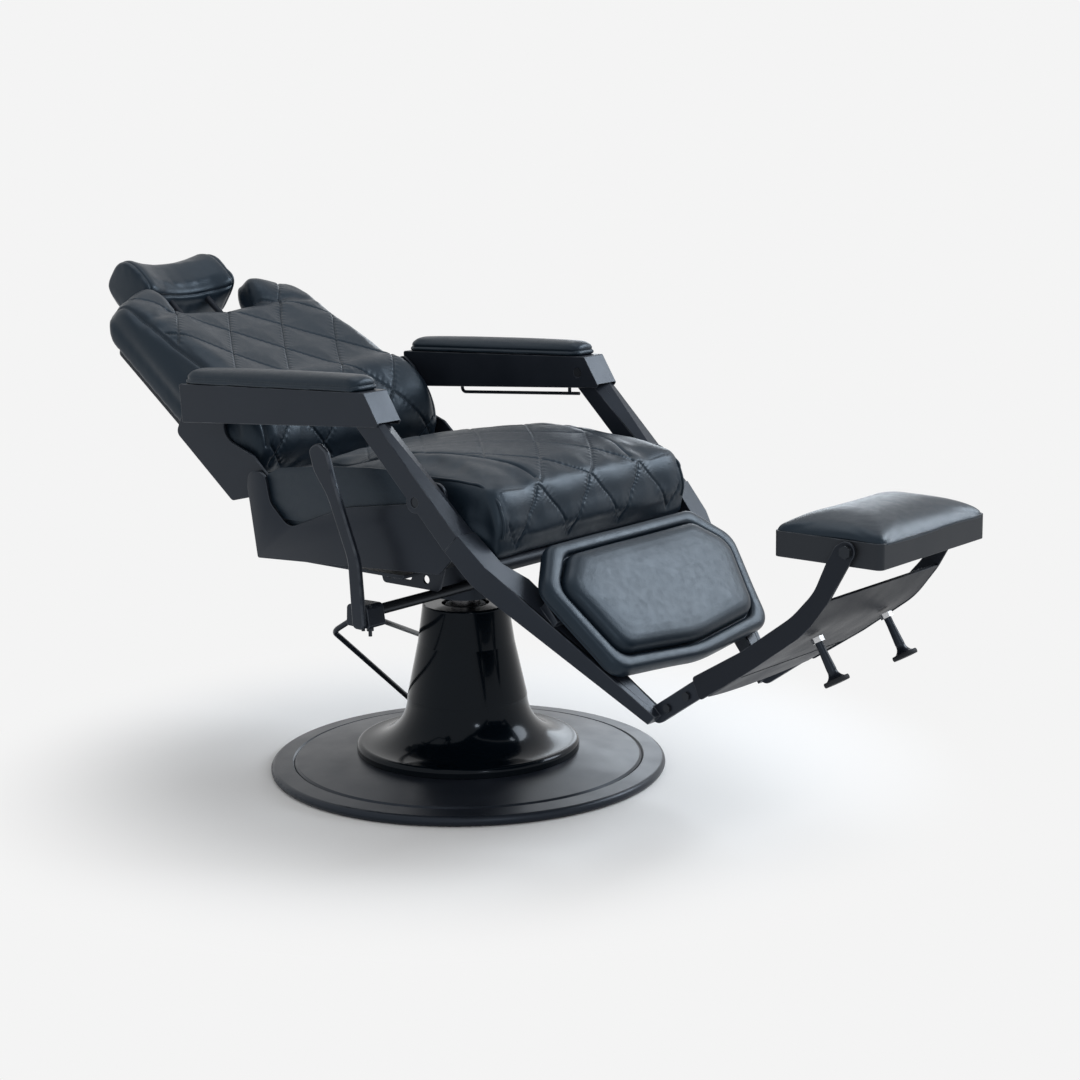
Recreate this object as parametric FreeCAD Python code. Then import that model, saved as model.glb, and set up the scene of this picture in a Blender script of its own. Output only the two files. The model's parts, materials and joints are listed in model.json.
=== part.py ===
import FreeCAD, Part
import math
import os

# Barber chair, reclined: round base, pedestal, pump lift, swivel seat, four-bar recline, flip footrest.
# Millimetres. +Z is up, the chair faces -Y, the sitter's left is +X.
# The origin is the centre of the base on the floor.

# Base and pedestal
BASE_RADIUS = 340.0
PLATE_RADIUS = 300.0
PLATE_THICK = 10.0
RIM_HEIGHT = 17.0
COVER_TOP = 34.0
COVER_WALL = 3.0
CONE_FLANGE_RADIUS = 192.0
CONE_FLARE_RADIUS = 77.0
CONE_WAIST = (103.0, 128.0)
CONE_MIDDLE = (83.0, 222.0)
CONE_TOP = (74.0, 289.0)
CONE_WALL = 3.0
CONE_MOUTH = 41.0

# Pump lift and swivel
CYLINDER_RADIUS = 38.0
CYLINDER_BORE = 30.0
CYLINDER_TOP = 284.0
FLANGE_RADIUS = 80.0
FLANGE_TOP = 22.0
RAM_RADIUS = 24.95
BUSH_BORE = 25.0
RAM_SHOULDER = 300.0
SPIGOT_RADIUS = 18.0
WASHER_THICK = 4.0
HEAD_RADIUS = 55.0
HEAD_TOP = 385.0
RUNNING = 0.05

# Four-bar recline: A back on seat, B armrest on back, C armrest on leg frame, D leg frame on seat (Y, Z)
PIVOT_A = (236.0, 506.0)
PIVOT_B = (350.0, 641.0)
PIVOT_C = (-50.0, 660.0)
PIVOT_D = (PIVOT_A[0] + PIVOT_C[0] - PIVOT_B[0], PIVOT_A[1] + PIVOT_C[1] - PIVOT_B[1])
PIN_RADIUS = 8.0
HINGE_PIN_RADIUS = 10.0
BACK_ANGLE = 37.0

# Recline strut: lever length, half of the recline range, and its place across the seat
STRUT_LEVER = 90.0
RECLINE_HALF_DEG = 15.0
STRUT_X = 60.0
STRUT_RADIUS = 14.0
STRUT_ROD_RADIUS = 6.0

# Seat
PANEL_INNER = 247.0
PANEL_OUTER = 252.0
MOUNT_PLATE_TOP = 391.0
BOARD_BOTTOM = 437.0
BOARD_TOP = 449.0
SEAT_HALF = 243.0
SEAT_CROWN_DROP = 13.0
QUILT_STEP = 130.0
QUILT_DEPTH = 4.0
QUILT_WIDTH = 2.4

# Back, in its own plane from an origin by A (Y, Z): s up along the back, t out of its front
BACK_ORIGIN = (240.0, 506.0)
BACK_HALF = 232.0
BACK_REAR = -70.0
SHELL_THICK = 10.0
# Back cushion by distance from its middle: top edge with notch and ear, stand of the front, low edge
BACK_TOP = ((0.0, 438.0), (102.0, 440.0), (117.0, 494.0), (130.0, 514.0), (160.0, 502.0), (200.0, 480.0),
            (224.0, 462.0), (BACK_HALF, 448.0))
BACK_LIFT = ((0.0, 0.0), (102.0, 2.0), (160.0, 10.0), (185.0, 15.0), (212.0, 13.0), (224.0, 1.0),
             (BACK_HALF, -14.0))
BACK_LOW = ((0.0, 28.0), (102.0, 27.0), (185.0, 21.0), (212.0, 22.0), (224.0, 27.0), (BACK_HALF, 36.0))
POST_X = 45.0
POST_T = -49.0
POST_RADIUS = 6.0

# Armrests
BEAM_INNER = 248.0
BEAM_OUTER = 301.0
BEAM_WALL = 3.0
BEAM_REAR = 365.0
BEAM_NOSE_TOP = -65.0
BEAM_NOSE_LOW = -95.0
BEAM_CAP_LOW = 653.0
BEAM_TOP_AT_0 = 686.0
BEAM_TOP_SLOPE = -0.0416
BEAM_LOW_AT_0 = 630.0
BEAM_LOW_SLOPE = -0.0664
ARM_PAD_THICK = 27.0

# Leg frame, in its own plane: v up along the leg from the knee, n out of its front
KNEE = (-281.0, 455.0)
LEG_ANGLE = 44.5
LEG_OUTER = 296.5
LEG_WIDTH = 40.0
LEG_DEPTH = 40.0
LEG_FOOT_V = -345.0
LEG_FOOT_OUTER = 163.0
LEG_FOOT_WIDTH = 30.0
LEG_FOOT_DEPTH = 20.0

# Footrest (Y, Z) and flip pad
ARM_PLATE = (149.5, 154.5)
LINK_PLATE = (140.0, 149.2)
LINK_ENDS = ((-522.0, 214.0), (-640.0, 296.0))
LINK_BOLTS = ((-541.0, 227.2), (-577.0, 252.2))
TREAD_HALF = 149.2
FLIP_PIVOT = (-858.0, 509.0)
FLIP_HALF = 146.0
FLIP_REAR = -729.0
FLIP_FRONT = -910.0
FLIP_LOW = 486.0
FLIP_RIM = 524.0
FLIP_CROWN = 546.0
PEG_X = 95.0
PEG_ROOT = (-771.0, 362.0)
PEG_FOOT = (-809.0, 298.0)

# Pump lever
PUMP_AXIS = (-40.0, 330.0)
SHAFT_RADIUS = 9.0
LEVER_X = (-312.0, -302.0)
LOOP_RADIUS = 4.5


def at(x, y, z):
    return FreeCAD.Vector(x, y, z)


def yz(x):
    """Map of flat (y, z) to space at one x."""
    return lambda u, v: at(x, u, v)


def box(x0, x1, y0, y1, z0, z1):
    return Part.makeBox(x1 - x0, y1 - y0, z1 - z0, at(x0, y0, z0))


def rod(start, end, radius):
    return Part.makeCylinder(radius, (end - start).Length, start, end - start)


def cross_rod(x0, x1, place, radius):
    """Round bar along X at one (y, z)."""
    return rod(at(x0, place[0], place[1]), at(x1, place[0], place[1]), radius)


def fused(shapes):
    whole = shapes[0]
    for shape in shapes[1:]:
        whole = whole.fuse(shape)
    return whole.removeSplitter()


def mirrored(shape):
    return shape.mirror(at(0, 0, 0), at(1, 0, 0))


def both(shape):
    """A group of two separate solids, one on each side."""
    return Part.makeCompound([shape, mirrored(shape)])


def corner_arc(before, corner, after, radius):
    """Start, middle and end of the arc that rounds a corner between two runs."""
    back = (before - corner).normalize()
    onward = (after - corner).normalize()
    half = back.getAngle(onward) / 2
    middle = (back + onward).normalize()
    reach = radius / math.tan(half)
    inside = radius / math.sin(half) - radius
    return corner + back * reach, corner + middle * inside, corner + onward * reach


def rounded_wire(corners, to_space):
    """Closed outline of (u, v, radius) corners."""
    points = [to_space(u, v) for u, v, r in corners]
    runs = []
    for i, (u, v, r) in enumerate(corners):
        if r > 0:
            runs.append(corner_arc(points[i - 1], points[i], points[(i + 1) % len(points)], r))
        else:
            runs.append((points[i], None, points[i]))
    edges = []
    for i, (start, middle, end) in enumerate(runs):
        if middle is not None:
            edges.append(Part.Arc(start, middle, end).toShape())
        following = runs[(i + 1) % len(runs)][0]
        if (following - end).Length > 1e-6:
            edges.append(Part.LineSegment(end, following).toShape())
    return Part.Wire(edges)


def plate_x(corners, x0, x1):
    """Plate of a (y, z, radius) outline between two x."""
    return Part.Face(rounded_wire(corners, yz(x0))).extrude(at(x1 - x0, 0, 0))


def plate_z(corners, z0, z1):
    """Plate of an (x, y, radius) outline between two heights."""
    outline = rounded_wire(corners, lambda u, v: at(u, v, z0))
    return Part.Face(outline).extrude(at(0, 0, z1 - z0))


def link_plate(p, q, radius_p, radius_q, x0, x1):
    """Flat bar with round ends about two (y, z) points."""
    a = at(0, p[0], p[1])
    b = at(0, q[0], q[1])
    side = (b - a).cross(at(1, 0, 0)).normalize()
    quad = [a + side * radius_p, b + side * radius_q, b - side * radius_q, a - side * radius_p]
    corners = [(c.y, c.z, 0) for c in quad]
    ends = [cross_rod(x0, x1, p, radius_p), cross_rod(x0, x1, q, radius_q)]
    return fused([plate_x(corners, x0, x1)] + ends)


def polyline(points, to_space):
    """Closed outline of points, where a point marked arc is the middle of an arc."""
    edges = []
    count = len(points)
    i = 0
    while i < count:
        start = to_space(points[i][0], points[i][1])
        following = points[(i + 1) % count]
        if len(following) == 3:
            end = points[(i + 2) % count]
            middle = to_space(following[0], following[1])
            edges.append(Part.Arc(start, middle, to_space(end[0], end[1])).toShape())
            i += 2
        else:
            edges.append(Part.LineSegment(start, to_space(following[0], following[1])).toShape())
            i += 1
    return Part.Wire(edges)


def turned(points, base=None, direction=None):
    """Solid turned about Z from (radius, height) points, stood on a base along a direction."""
    face = Part.Face(polyline(points, lambda r, h: at(r, 0, h)))
    solid = face.revolve(at(0, 0, 0), at(0, 0, 1), 360)
    if base is not None:
        turn = FreeCAD.Rotation(at(0, 0, 1), direction)
        solid = solid.transformGeometry(FreeCAD.Placement(base, turn).toMatrix())
    return solid


def bent_rod(points, bend, radius):
    """Round rod along straight runs joined by tangent arcs."""
    edges = []
    last = points[0]
    for i in range(1, len(points) - 1):
        start, middle, end = corner_arc(points[i - 1], points[i], points[i + 1], bend)
        edges.append(Part.LineSegment(last, start).toShape())
        edges.append(Part.Arc(start, middle, end).toShape())
        last = end
    edges.append(Part.LineSegment(last, points[-1]).toShape())
    path = Part.Wire(edges)
    circle = Part.Edge(Part.Circle(points[0], points[1] - points[0], radius))
    return path.makePipeShell([Part.Wire([circle])], True, False)


def hex_bolt(shank_radius, head_radius, start, end, head_height):
    """Bolt whose hexagon head stands at start and whose shank ends at end."""
    axis = (end - start).normalize()
    turn = FreeCAD.Rotation(at(0, 0, 1), axis)
    hexagon = [at(head_radius * math.cos(k * math.pi / 3), head_radius * math.sin(k * math.pi / 3), 0)
               for k in range(7)]
    head = Part.Face(Part.makePolygon(hexagon)).extrude(at(0, 0, head_height))
    head = head.transformGeometry(FreeCAD.Placement(start, turn).toMatrix())
    return fused([head, rod(start, end, shank_radius)])


def on_back(shape):
    """Place a shape made in the back's plane (x, s, t)."""
    turned_shape = shape.copy()
    turned_shape.rotate(at(0, 0, 0), at(1, 0, 0), BACK_ANGLE)
    turned_shape.translate(at(0, BACK_ORIGIN[0], BACK_ORIGIN[1]))
    return turned_shape


def on_leg(shape):
    """Place a shape made in the leg frame's plane (x, v, n)."""
    turned_shape = shape.copy()
    turned_shape.rotate(at(0, 0, 0), at(1, 0, 0), LEG_ANGLE)
    turned_shape.translate(at(0, KNEE[0], KNEE[1]))
    return turned_shape


def in_plane(place, origin, angle):
    """Coordinates of a (y, z) point in a plane turned by an angle about X."""
    y = place[0] - origin[0]
    z = place[1] - origin[1]
    c = math.cos(math.radians(angle))
    s = math.sin(math.radians(angle))
    return y * c + z * s, z * c - y * s


def make_base():
    """Floor plate, rim, cover, cone, pump cylinder, bush, seal and flange bolts."""
    bolt_places = [(62 * math.cos(math.radians(45 + 90 * k)), 62 * math.sin(math.radians(45 + 90 * k)))
                   for k in range(4)]
    plate = Part.makeCylinder(PLATE_RADIUS, PLATE_THICK)
    cylinder = turned([(0, PLATE_THICK), (FLANGE_RADIUS, PLATE_THICK), (FLANGE_RADIUS, FLANGE_TOP),
                       (CYLINDER_RADIUS, FLANGE_TOP), (CYLINDER_RADIUS, CYLINDER_TOP),
                       (CYLINDER_BORE, CYLINDER_TOP), (CYLINDER_BORE, FLANGE_TOP + 2), (0, FLANGE_TOP + 2)])
    bolts = []
    for x, y in bolt_places:
        plate = plate.cut(rod(at(x, y, 3), at(x, y, PLATE_THICK + 1), 5))
        cylinder = cylinder.cut(rod(at(x, y, PLATE_THICK - 1), at(x, y, FLANGE_TOP + 1), 5))
        bolts.append(hex_bolt(5, 8.5, at(x, y, FLANGE_TOP), at(x, y, 3), -6))
    rim = turned([(PLATE_RADIUS, 0), (BASE_RADIUS - 9, 0), (BASE_RADIUS - 2, 3, "arc"), (BASE_RADIUS, 9),
                  (BASE_RADIUS - 2.5, 14.5, "arc"), (BASE_RADIUS - 9, RIM_HEIGHT),
                  (PLATE_RADIUS + 3, RIM_HEIGHT + 2.5), (PLATE_RADIUS, RIM_HEIGHT)])
    edge = PLATE_RADIUS - 0.5
    cover = turned([(edge, PLATE_THICK), (edge, 18), (edge - 4, 21), (CONE_FLANGE_RADIUS - 6, COVER_TOP),
                    (CONE_FLANGE_RADIUS - 6, COVER_TOP - COVER_WALL), (edge - 5, 18.4),
                    (edge - COVER_WALL, 16), (edge - COVER_WALL, PLATE_THICK)])
    export(plate, "base_plate")
    export(rim, "base_rim")
    export(cover, "base_cover")
    export(make_cone(), "pedestal_cone")
    export(cylinder, "pump_cylinder")
    export(turned([(BUSH_BORE, 248), (CYLINDER_BORE, 248), (CYLINDER_BORE, CYLINDER_TOP),
                   (BUSH_BORE, CYLINDER_TOP)]), "guide_bush")
    export(turned([(BUSH_BORE + 0.4, CYLINDER_TOP), (CYLINDER_RADIUS - 2, CYLINDER_TOP),
                   (CYLINDER_RADIUS - 4, CYLINDER_TOP + 4), (BUSH_BORE + 0.4, CYLINDER_TOP + 4)]),
           "wiper_seal")
    export(Part.makeCompound(bolts), "flange_bolts")


def make_cone():
    """Trumpet-shaped pedestal cover with a flange lip."""
    centre = (CONE_WAIST[0] + CONE_FLARE_RADIUS, CONE_WAIST[1])
    lean = math.sqrt(0.5)
    outer = CONE_FLARE_RADIUS
    inner = CONE_FLARE_RADIUS + CONE_WALL
    lip = CONE_FLANGE_RADIUS
    return turned([
        (lip, COVER_TOP), (lip, COVER_TOP + 9), (lip - 2.5, COVER_TOP + 14.5, "arc"),
        (lip - 8, COVER_TOP + 17),
        (centre[0], centre[1] - outer),
        (centre[0] - outer * lean, centre[1] - outer * lean, "arc"), CONE_WAIST,
        CONE_MIDDLE, (CONE_TOP[0], CONE_TOP[1] - 4),
        (CONE_TOP[0] - 1, CONE_TOP[1] - 1, "arc"), (CONE_TOP[0] - 4, CONE_TOP[1]),
        (CONE_MOUTH, CONE_TOP[1]), (CONE_MOUTH, CONE_TOP[1] - CONE_WALL),
        (CONE_TOP[0] - 4, CONE_TOP[1] - CONE_WALL), (CONE_MIDDLE[0] - CONE_WALL, CONE_MIDDLE[1]),
        (CONE_WAIST[0] - CONE_WALL, CONE_WAIST[1]),
        (centre[0] - inner * lean, centre[1] - inner * lean, "arc"), (centre[0], centre[1] - inner),
        (lip - CONE_WALL, COVER_TOP + 12), (lip - CONE_WALL, COVER_TOP)])


def make_lift():
    """Ram with its piston and spigot, and the thrust washer."""
    piston = CYLINDER_BORE - RUNNING
    export(turned([(0, 62), (piston, 62), (piston, 92), (RAM_RADIUS, 92), (RAM_RADIUS, RAM_SHOULDER),
                   (SPIGOT_RADIUS, RAM_SHOULDER), (SPIGOT_RADIUS, 358), (0, 358)]), "ram")
    top = RAM_SHOULDER + WASHER_THICK
    export(turned([(SPIGOT_RADIUS + 0.2, RAM_SHOULDER), (34, RAM_SHOULDER), (34, top),
                   (SPIGOT_RADIUS + 0.2, top)]), "thrust_washer")


def make_head():
    """Swivel and pump head, mount plate with holed webs, and their bolts."""
    low = RAM_SHOULDER + WASHER_THICK + 0.2
    bore = SPIGOT_RADIUS + RUNNING
    head = turned([(bore, low), (HEAD_RADIUS, low), (HEAD_RADIUS, HEAD_TOP - 8), (88, HEAD_TOP - 8),
                   (88, HEAD_TOP), (0, HEAD_TOP), (0, 360), (bore, 360)])
    head = head.cut(cross_rod(-HEAD_RADIUS - 1, 30, PUMP_AXIS, SHAFT_RADIUS + RUNNING))
    reach = PANEL_INNER
    plate = box(-reach, reach, -90, 150, HEAD_TOP, MOUNT_PLATE_TOP)
    web = plate_x([(-78, 345, 8), (48, 345, 8), (60, HEAD_TOP, 0), (-90, HEAD_TOP, 0)], 145, 150)
    for place, radius in (((-10, 363), 7), ((6, 363), 7), ((-49, 362), 7), ((32, 360), 5)):
        web = web.cut(cross_rod(140, 155, place, radius))
    web = web.cut(box(140, 155, -10, 6, 356, 370))
    plate = fused([plate, web, mirrored(web)])
    bolts = []
    for k in range(4):
        turn = math.radians(45 + 90 * k)
        x, y = 72 * math.cos(turn), 72 * math.sin(turn)
        hole = rod(at(x, y, HEAD_TOP - 9), at(x, y, MOUNT_PLATE_TOP + 1), 5)
        head = head.cut(hole)
        plate = plate.cut(hole)
        bolts.append(hex_bolt(5, 8.5, at(x, y, HEAD_TOP - 8), at(x, y, MOUNT_PLATE_TOP + 5), -6))
    export(head, "swivel_head")
    export(plate, "seat_mount_plate")
    export(Part.makeCompound(bolts), "mount_bolts")


def make_seat_frame():
    """Side panels with hinge ears, rails, board, strut cylinder and the fixed pins."""
    d_y, d_z = PIVOT_D
    panel = plate_x([
        (241, 380, 4), (260, 500, 6), (256, 528, 17), (217, 527, 17), (207, 478, 30), (163, 440, 30),
        (30, 489, 120), (d_y + 30, 514, 12), (d_y + 24, d_z + 25, 20), (d_y - 24, d_z + 25, 20),
        (d_y - 24, d_z - 20, 20), (d_y + 12, 440, 30), (d_y + 55, 398, 15)], PANEL_INNER, PANEL_OUTER)
    panel = panel.cut(cross_rod(PANEL_INNER - 1, PANEL_OUTER + 1, PIVOT_A, HINGE_PIN_RADIUS))
    panel = panel.cut(cross_rod(PANEL_INNER - 1, PANEL_OUTER + 1, PIVOT_D, PIN_RADIUS))
    export(panel, "side_panel_left")
    export(mirrored(panel), "side_panel_right")
    reach = PANEL_INNER
    front_rail = box(-reach, reach, -160, -130, 407, BOARD_BOTTOM)
    front_rail = front_rail.cut(box(-reach - 1, reach + 1, -157.5, -132.5, 409.5, BOARD_BOTTOM - 2.5))
    rear_rail = box(-reach, reach, 130, 160, BOARD_BOTTOM - 9, BOARD_BOTTOM)
    export(Part.makeCompound([front_rail, rear_rail]), "seat_rails")
    export(plate_z([(-230, -255, 25), (230, -255, 25), (230, 190, 25), (-230, 190, 25)],
                   BOARD_BOTTOM, BOARD_TOP), "seat_board")
    export(both(cross_rod(215, PANEL_OUTER, PIVOT_A, HINGE_PIN_RADIUS)), "back_hinge_pins")
    export(both(cross_rod(PANEL_INNER, LEG_OUTER - 2, PIVOT_D, PIN_RADIUS)), "leg_pivot_pins")


def strut_end():
    """Rest place of the strut's pin on the hinge tube's lever (Y, Z)."""
    turn = math.radians(RECLINE_HALF_DEG)
    return PIVOT_A[0] - STRUT_LEVER * math.sin(turn), PIVOT_A[1] - STRUT_LEVER * math.cos(turn)


def make_strut():
    """Lockable strut: cylinder on the seat and rod that follows the lever."""
    height = PIVOT_A[1] - STRUT_LEVER * (1 + math.cos(math.radians(RECLINE_HALF_DEG))) / 2
    eye_y = strut_end()[0]
    neck = rod(at(STRUT_X, -130, height), at(STRUT_X, -105, height), 7)
    body = rod(at(STRUT_X, -105, height), at(STRUT_X, 112, height), STRUT_RADIUS)
    bore = rod(at(STRUT_X, 20, height), at(STRUT_X, 113, height), STRUT_ROD_RADIUS + RUNNING)
    export(fused([neck, body]).cut(bore), "strut_cylinder")
    shaft = rod(at(STRUT_X, 28, height), at(STRUT_X, eye_y - 10, height), STRUT_ROD_RADIUS)
    eye = cross_rod(STRUT_X - 6, STRUT_X + 6, (eye_y, height), 14)
    hole = cross_rod(STRUT_X - 7, STRUT_X + 7, (eye_y, height), STRUT_ROD_RADIUS + 2.4)
    export(fused([shaft, eye]).cut(hole), "strut_rod")


def seat_section(x):
    """Side outline of the seat cushion at one x: waterfall front, crowned top, drawn-in sides."""
    across = abs(x) / SEAT_HALF
    drop = SEAT_CROWN_DROP * across ** 2
    draw = 14.0 * max(0.0, (across - 0.93) / 0.07) ** 1.5
    low = BOARD_TOP + 0.3
    return polyline([
        (-272 + draw, low), (-298 + draw, 500, "arc"), (-290 + draw, 538 - drop - draw),
        (-280 + draw, 554 - drop - draw, "arc"), (-254 + draw, 564 - drop - draw),
        (-90, 584 - drop - draw, "arc"), (80, 565 - drop - draw),
        (162, 545 - drop - draw, "arc"), (202 - draw, 512 - drop - draw),
        (207 - draw, 484 - draw, "arc"), (198 - draw, low)], yz(x))


def quilt_slabs(half, first, last, step, height0, height1, slope):
    """Thin upright slabs along two crossing families of lines, drawn in x and y."""
    slabs = []
    middle = (first + last) / 2
    reach = math.hypot(half, (last - first) / 2) + step
    lines = int(reach / (step * math.sin(slope))) + 1
    for sign in (1, -1):
        for k in range(-lines, lines + 1):
            slab = box(-reach, reach, -QUILT_WIDTH / 2, QUILT_WIDTH / 2, height0, height1)
            slab.translate(at(0, k * step * math.sin(slope), 0))
            slab.rotate(at(0, 0, 0), at(0, 0, 1), math.degrees(sign * slope))
            slab.translate(at(0, middle, 0))
            field = box(-half, half, first, last, height0, height1)
            kept = slab.common(field)
            if kept.Volume > 1.0:
                slabs.append(kept)
    return slabs


def make_seat_cushion():
    """Lofted seat cushion with sewn diamond channels on its top."""
    stations = (-243.0, -240.0, -232.0, -205.0, -130.0, 0.0, 130.0, 205.0, 232.0, 240.0, 243.0)
    cushion = Part.makeLoft([seat_section(x) for x in stations], True, True)
    core = cushion.copy()
    core.translate(at(0, 0, -QUILT_DEPTH))
    slabs = quilt_slabs(196, -250, 160, QUILT_STEP, 530, 620, math.radians(45))
    channels = Part.makeCompound(slabs).cut(core)
    export(cushion.cut(channels), "seat_cushion")


def back_section(x):
    """Outline of the back cushion at one x, in (s, t): lumbar roll, slope, rounded top edge."""
    across = abs(x)
    top = along(BACK_TOP, across)
    lift = along(BACK_LIFT, across)
    low = along(BACK_LOW, across)
    rear = BACK_REAR + SHELL_THICK + 0.3
    return polyline([
        (low + 4, rear), (low - 4, -8.0, "arc"), (low + 16, 40.0 + lift),
        (94, 72.0 + lift, "arc"), (190, 60.0 + 0.6 * lift),
        (300, 33.0 + lift, "arc"), (top - 34, 7.0 + 0.4 * lift),
        (top - 9, -5.0 + 0.3 * lift, "arc"), (top, -28.0),
        (top - 7, rear + 14, "arc"), (top - 34, rear)], yz(x))


def along(stations, place):
    """Value between the stations on either side of a place."""
    for (a, low), (b, high) in zip(stations, stations[1:]):
        if place <= b:
            return low + (high - low) * (place - a) / (b - a)
    return stations[-1][1]


def make_back():
    """Hinge tube with lever, brackets, studs, shell, cushion and headrest guide."""
    tube = cross_rod(-243, 243, PIVOT_A, 16)
    for side in (-1, 1):
        tube = tube.cut(cross_rod(side * 208, side * 244, PIVOT_A, HINGE_PIN_RADIUS + RUNNING))
    pin = strut_end()
    cheeks = [link_plate(PIVOT_A, pin, 18, 12, STRUT_X + dx, STRUT_X + dx + 5) for dx in (-13, 8)]
    lever_pin = cross_rod(STRUT_X - 13, STRUT_X + 13, pin, STRUT_ROD_RADIUS)
    export(fused([tube, lever_pin] + cheeks), "hinge_tube")
    b_s, b_t = in_plane(PIVOT_B, BACK_ORIGIN, BACK_ANGLE)
    bracket = on_back(plate_x([
        (-20, -8, 18), (34, -73, 10), (205, BACK_REAR, 12), (214, -20, 25), (b_s + 20, b_t + 17, 16),
        (b_s - 20, b_t + 17, 16), (110, 4, 30), (40, 26, 18), (-18, 22, 18)], 236, 241))
    bracket = bracket.cut(cross_rod(235, 242, PIVOT_A, 16))
    export(bracket, "back_bracket_left")
    export(mirrored(bracket), "back_bracket_right")
    export(both(cross_rod(241, 290, PIVOT_B, PIN_RADIUS)), "armrest_rear_studs")
    half_outline = [(224, 32, 12), (224, 408, 14), (200, 438, 25), (135, 474, 18), (119, 458, 8),
                    (106, 400, 10)]
    outline = half_outline + [(-x, s, r) for x, s, r in reversed(half_outline)]
    shell = plate_z(outline, BACK_REAR, BACK_REAR + SHELL_THICK)
    export(on_back(shell), "back_shell")
    guide = box(-66, 66, 230, 378, POST_T - 10.5, POST_T + 10)
    for side in (-1, 1):
        guide = guide.cut(rod(at(side * POST_X, 229, POST_T), at(side * POST_X, 379, POST_T),
                              POST_RADIUS + RUNNING))
    export(on_back(guide), "headrest_guide")
    export(on_back(make_back_cushion()), "back_cushion")


def make_back_cushion():
    """Ruled loft of the back cushion with its ears, notch and sewn diamond channels."""
    half = [station[0] for station in BACK_TOP]
    stations = [-x for x in reversed(half[1:])] + half
    cushion = Part.makeLoft([back_section(x) for x in stations], True, True)
    core = cushion.copy()
    core.translate(at(0, 0, -QUILT_DEPTH))
    slabs = quilt_slabs(140, 170, 400, QUILT_STEP, 0, 110, math.radians(45))
    channels = Part.makeCompound(slabs).cut(core)
    pocket = box(-68, 68, 228, 460, BACK_REAR, POST_T + 10.5)
    return cushion.cut(channels).cut(pocket)


def make_headrest():
    """Two posts on a plate, and the saddle-shaped roll cushion around the plate."""
    posts = [rod(at(side * POST_X, 240, POST_T), at(side * POST_X, 528, POST_T), POST_RADIUS)
             for side in (-1, 1)]
    plate = box(-72, 72, 524, 594, POST_T - 6, POST_T)
    carrier = fused(posts + [plate])
    export(on_back(carrier), "headrest_posts")
    stations = (-112.0, -106.0, -86.0, -45.0, 0.0, 45.0, 86.0, 106.0, 112.0)
    roll = Part.makeLoft([headrest_section(x) for x in stations], True, True)
    room = fused([rod(at(side * POST_X, 490, POST_T), at(side * POST_X, 530, POST_T), POST_RADIUS)
                  for side in (-1, 1)] + [plate])
    export(on_back(roll.cut(room)), "headrest_cushion")


def headrest_section(x):
    """Oval of four arcs in (s, t), lower in the middle than at the ends."""
    across = abs(x) / 112.0
    draw = 13.0 * max(0.0, (across - 0.75) / 0.25) ** 2
    top = -29.0 + 30.0 * across ** 2 - draw
    low = -93.0 + draw
    first = 506.0 + draw
    last = 616.0 - draw
    middle = (top + low) / 2
    lean = 0.15 * (last - first)
    return polyline([
        (first, middle), (first + lean, top - 0.15 * (top - low), "arc"), ((first + last) / 2, top),
        (last - lean, top - 0.15 * (top - low), "arc"), (last, middle),
        (last - lean, low + 0.15 * (top - low), "arc"), ((first + last) / 2, low),
        (first + lean, low + 0.15 * (top - low), "arc")], yz(x))


def beam_top(y):
    return BEAM_TOP_AT_0 + BEAM_TOP_SLOPE * y


def beam_low(y):
    return BEAM_LOW_AT_0 + BEAM_LOW_SLOPE * y


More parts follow.
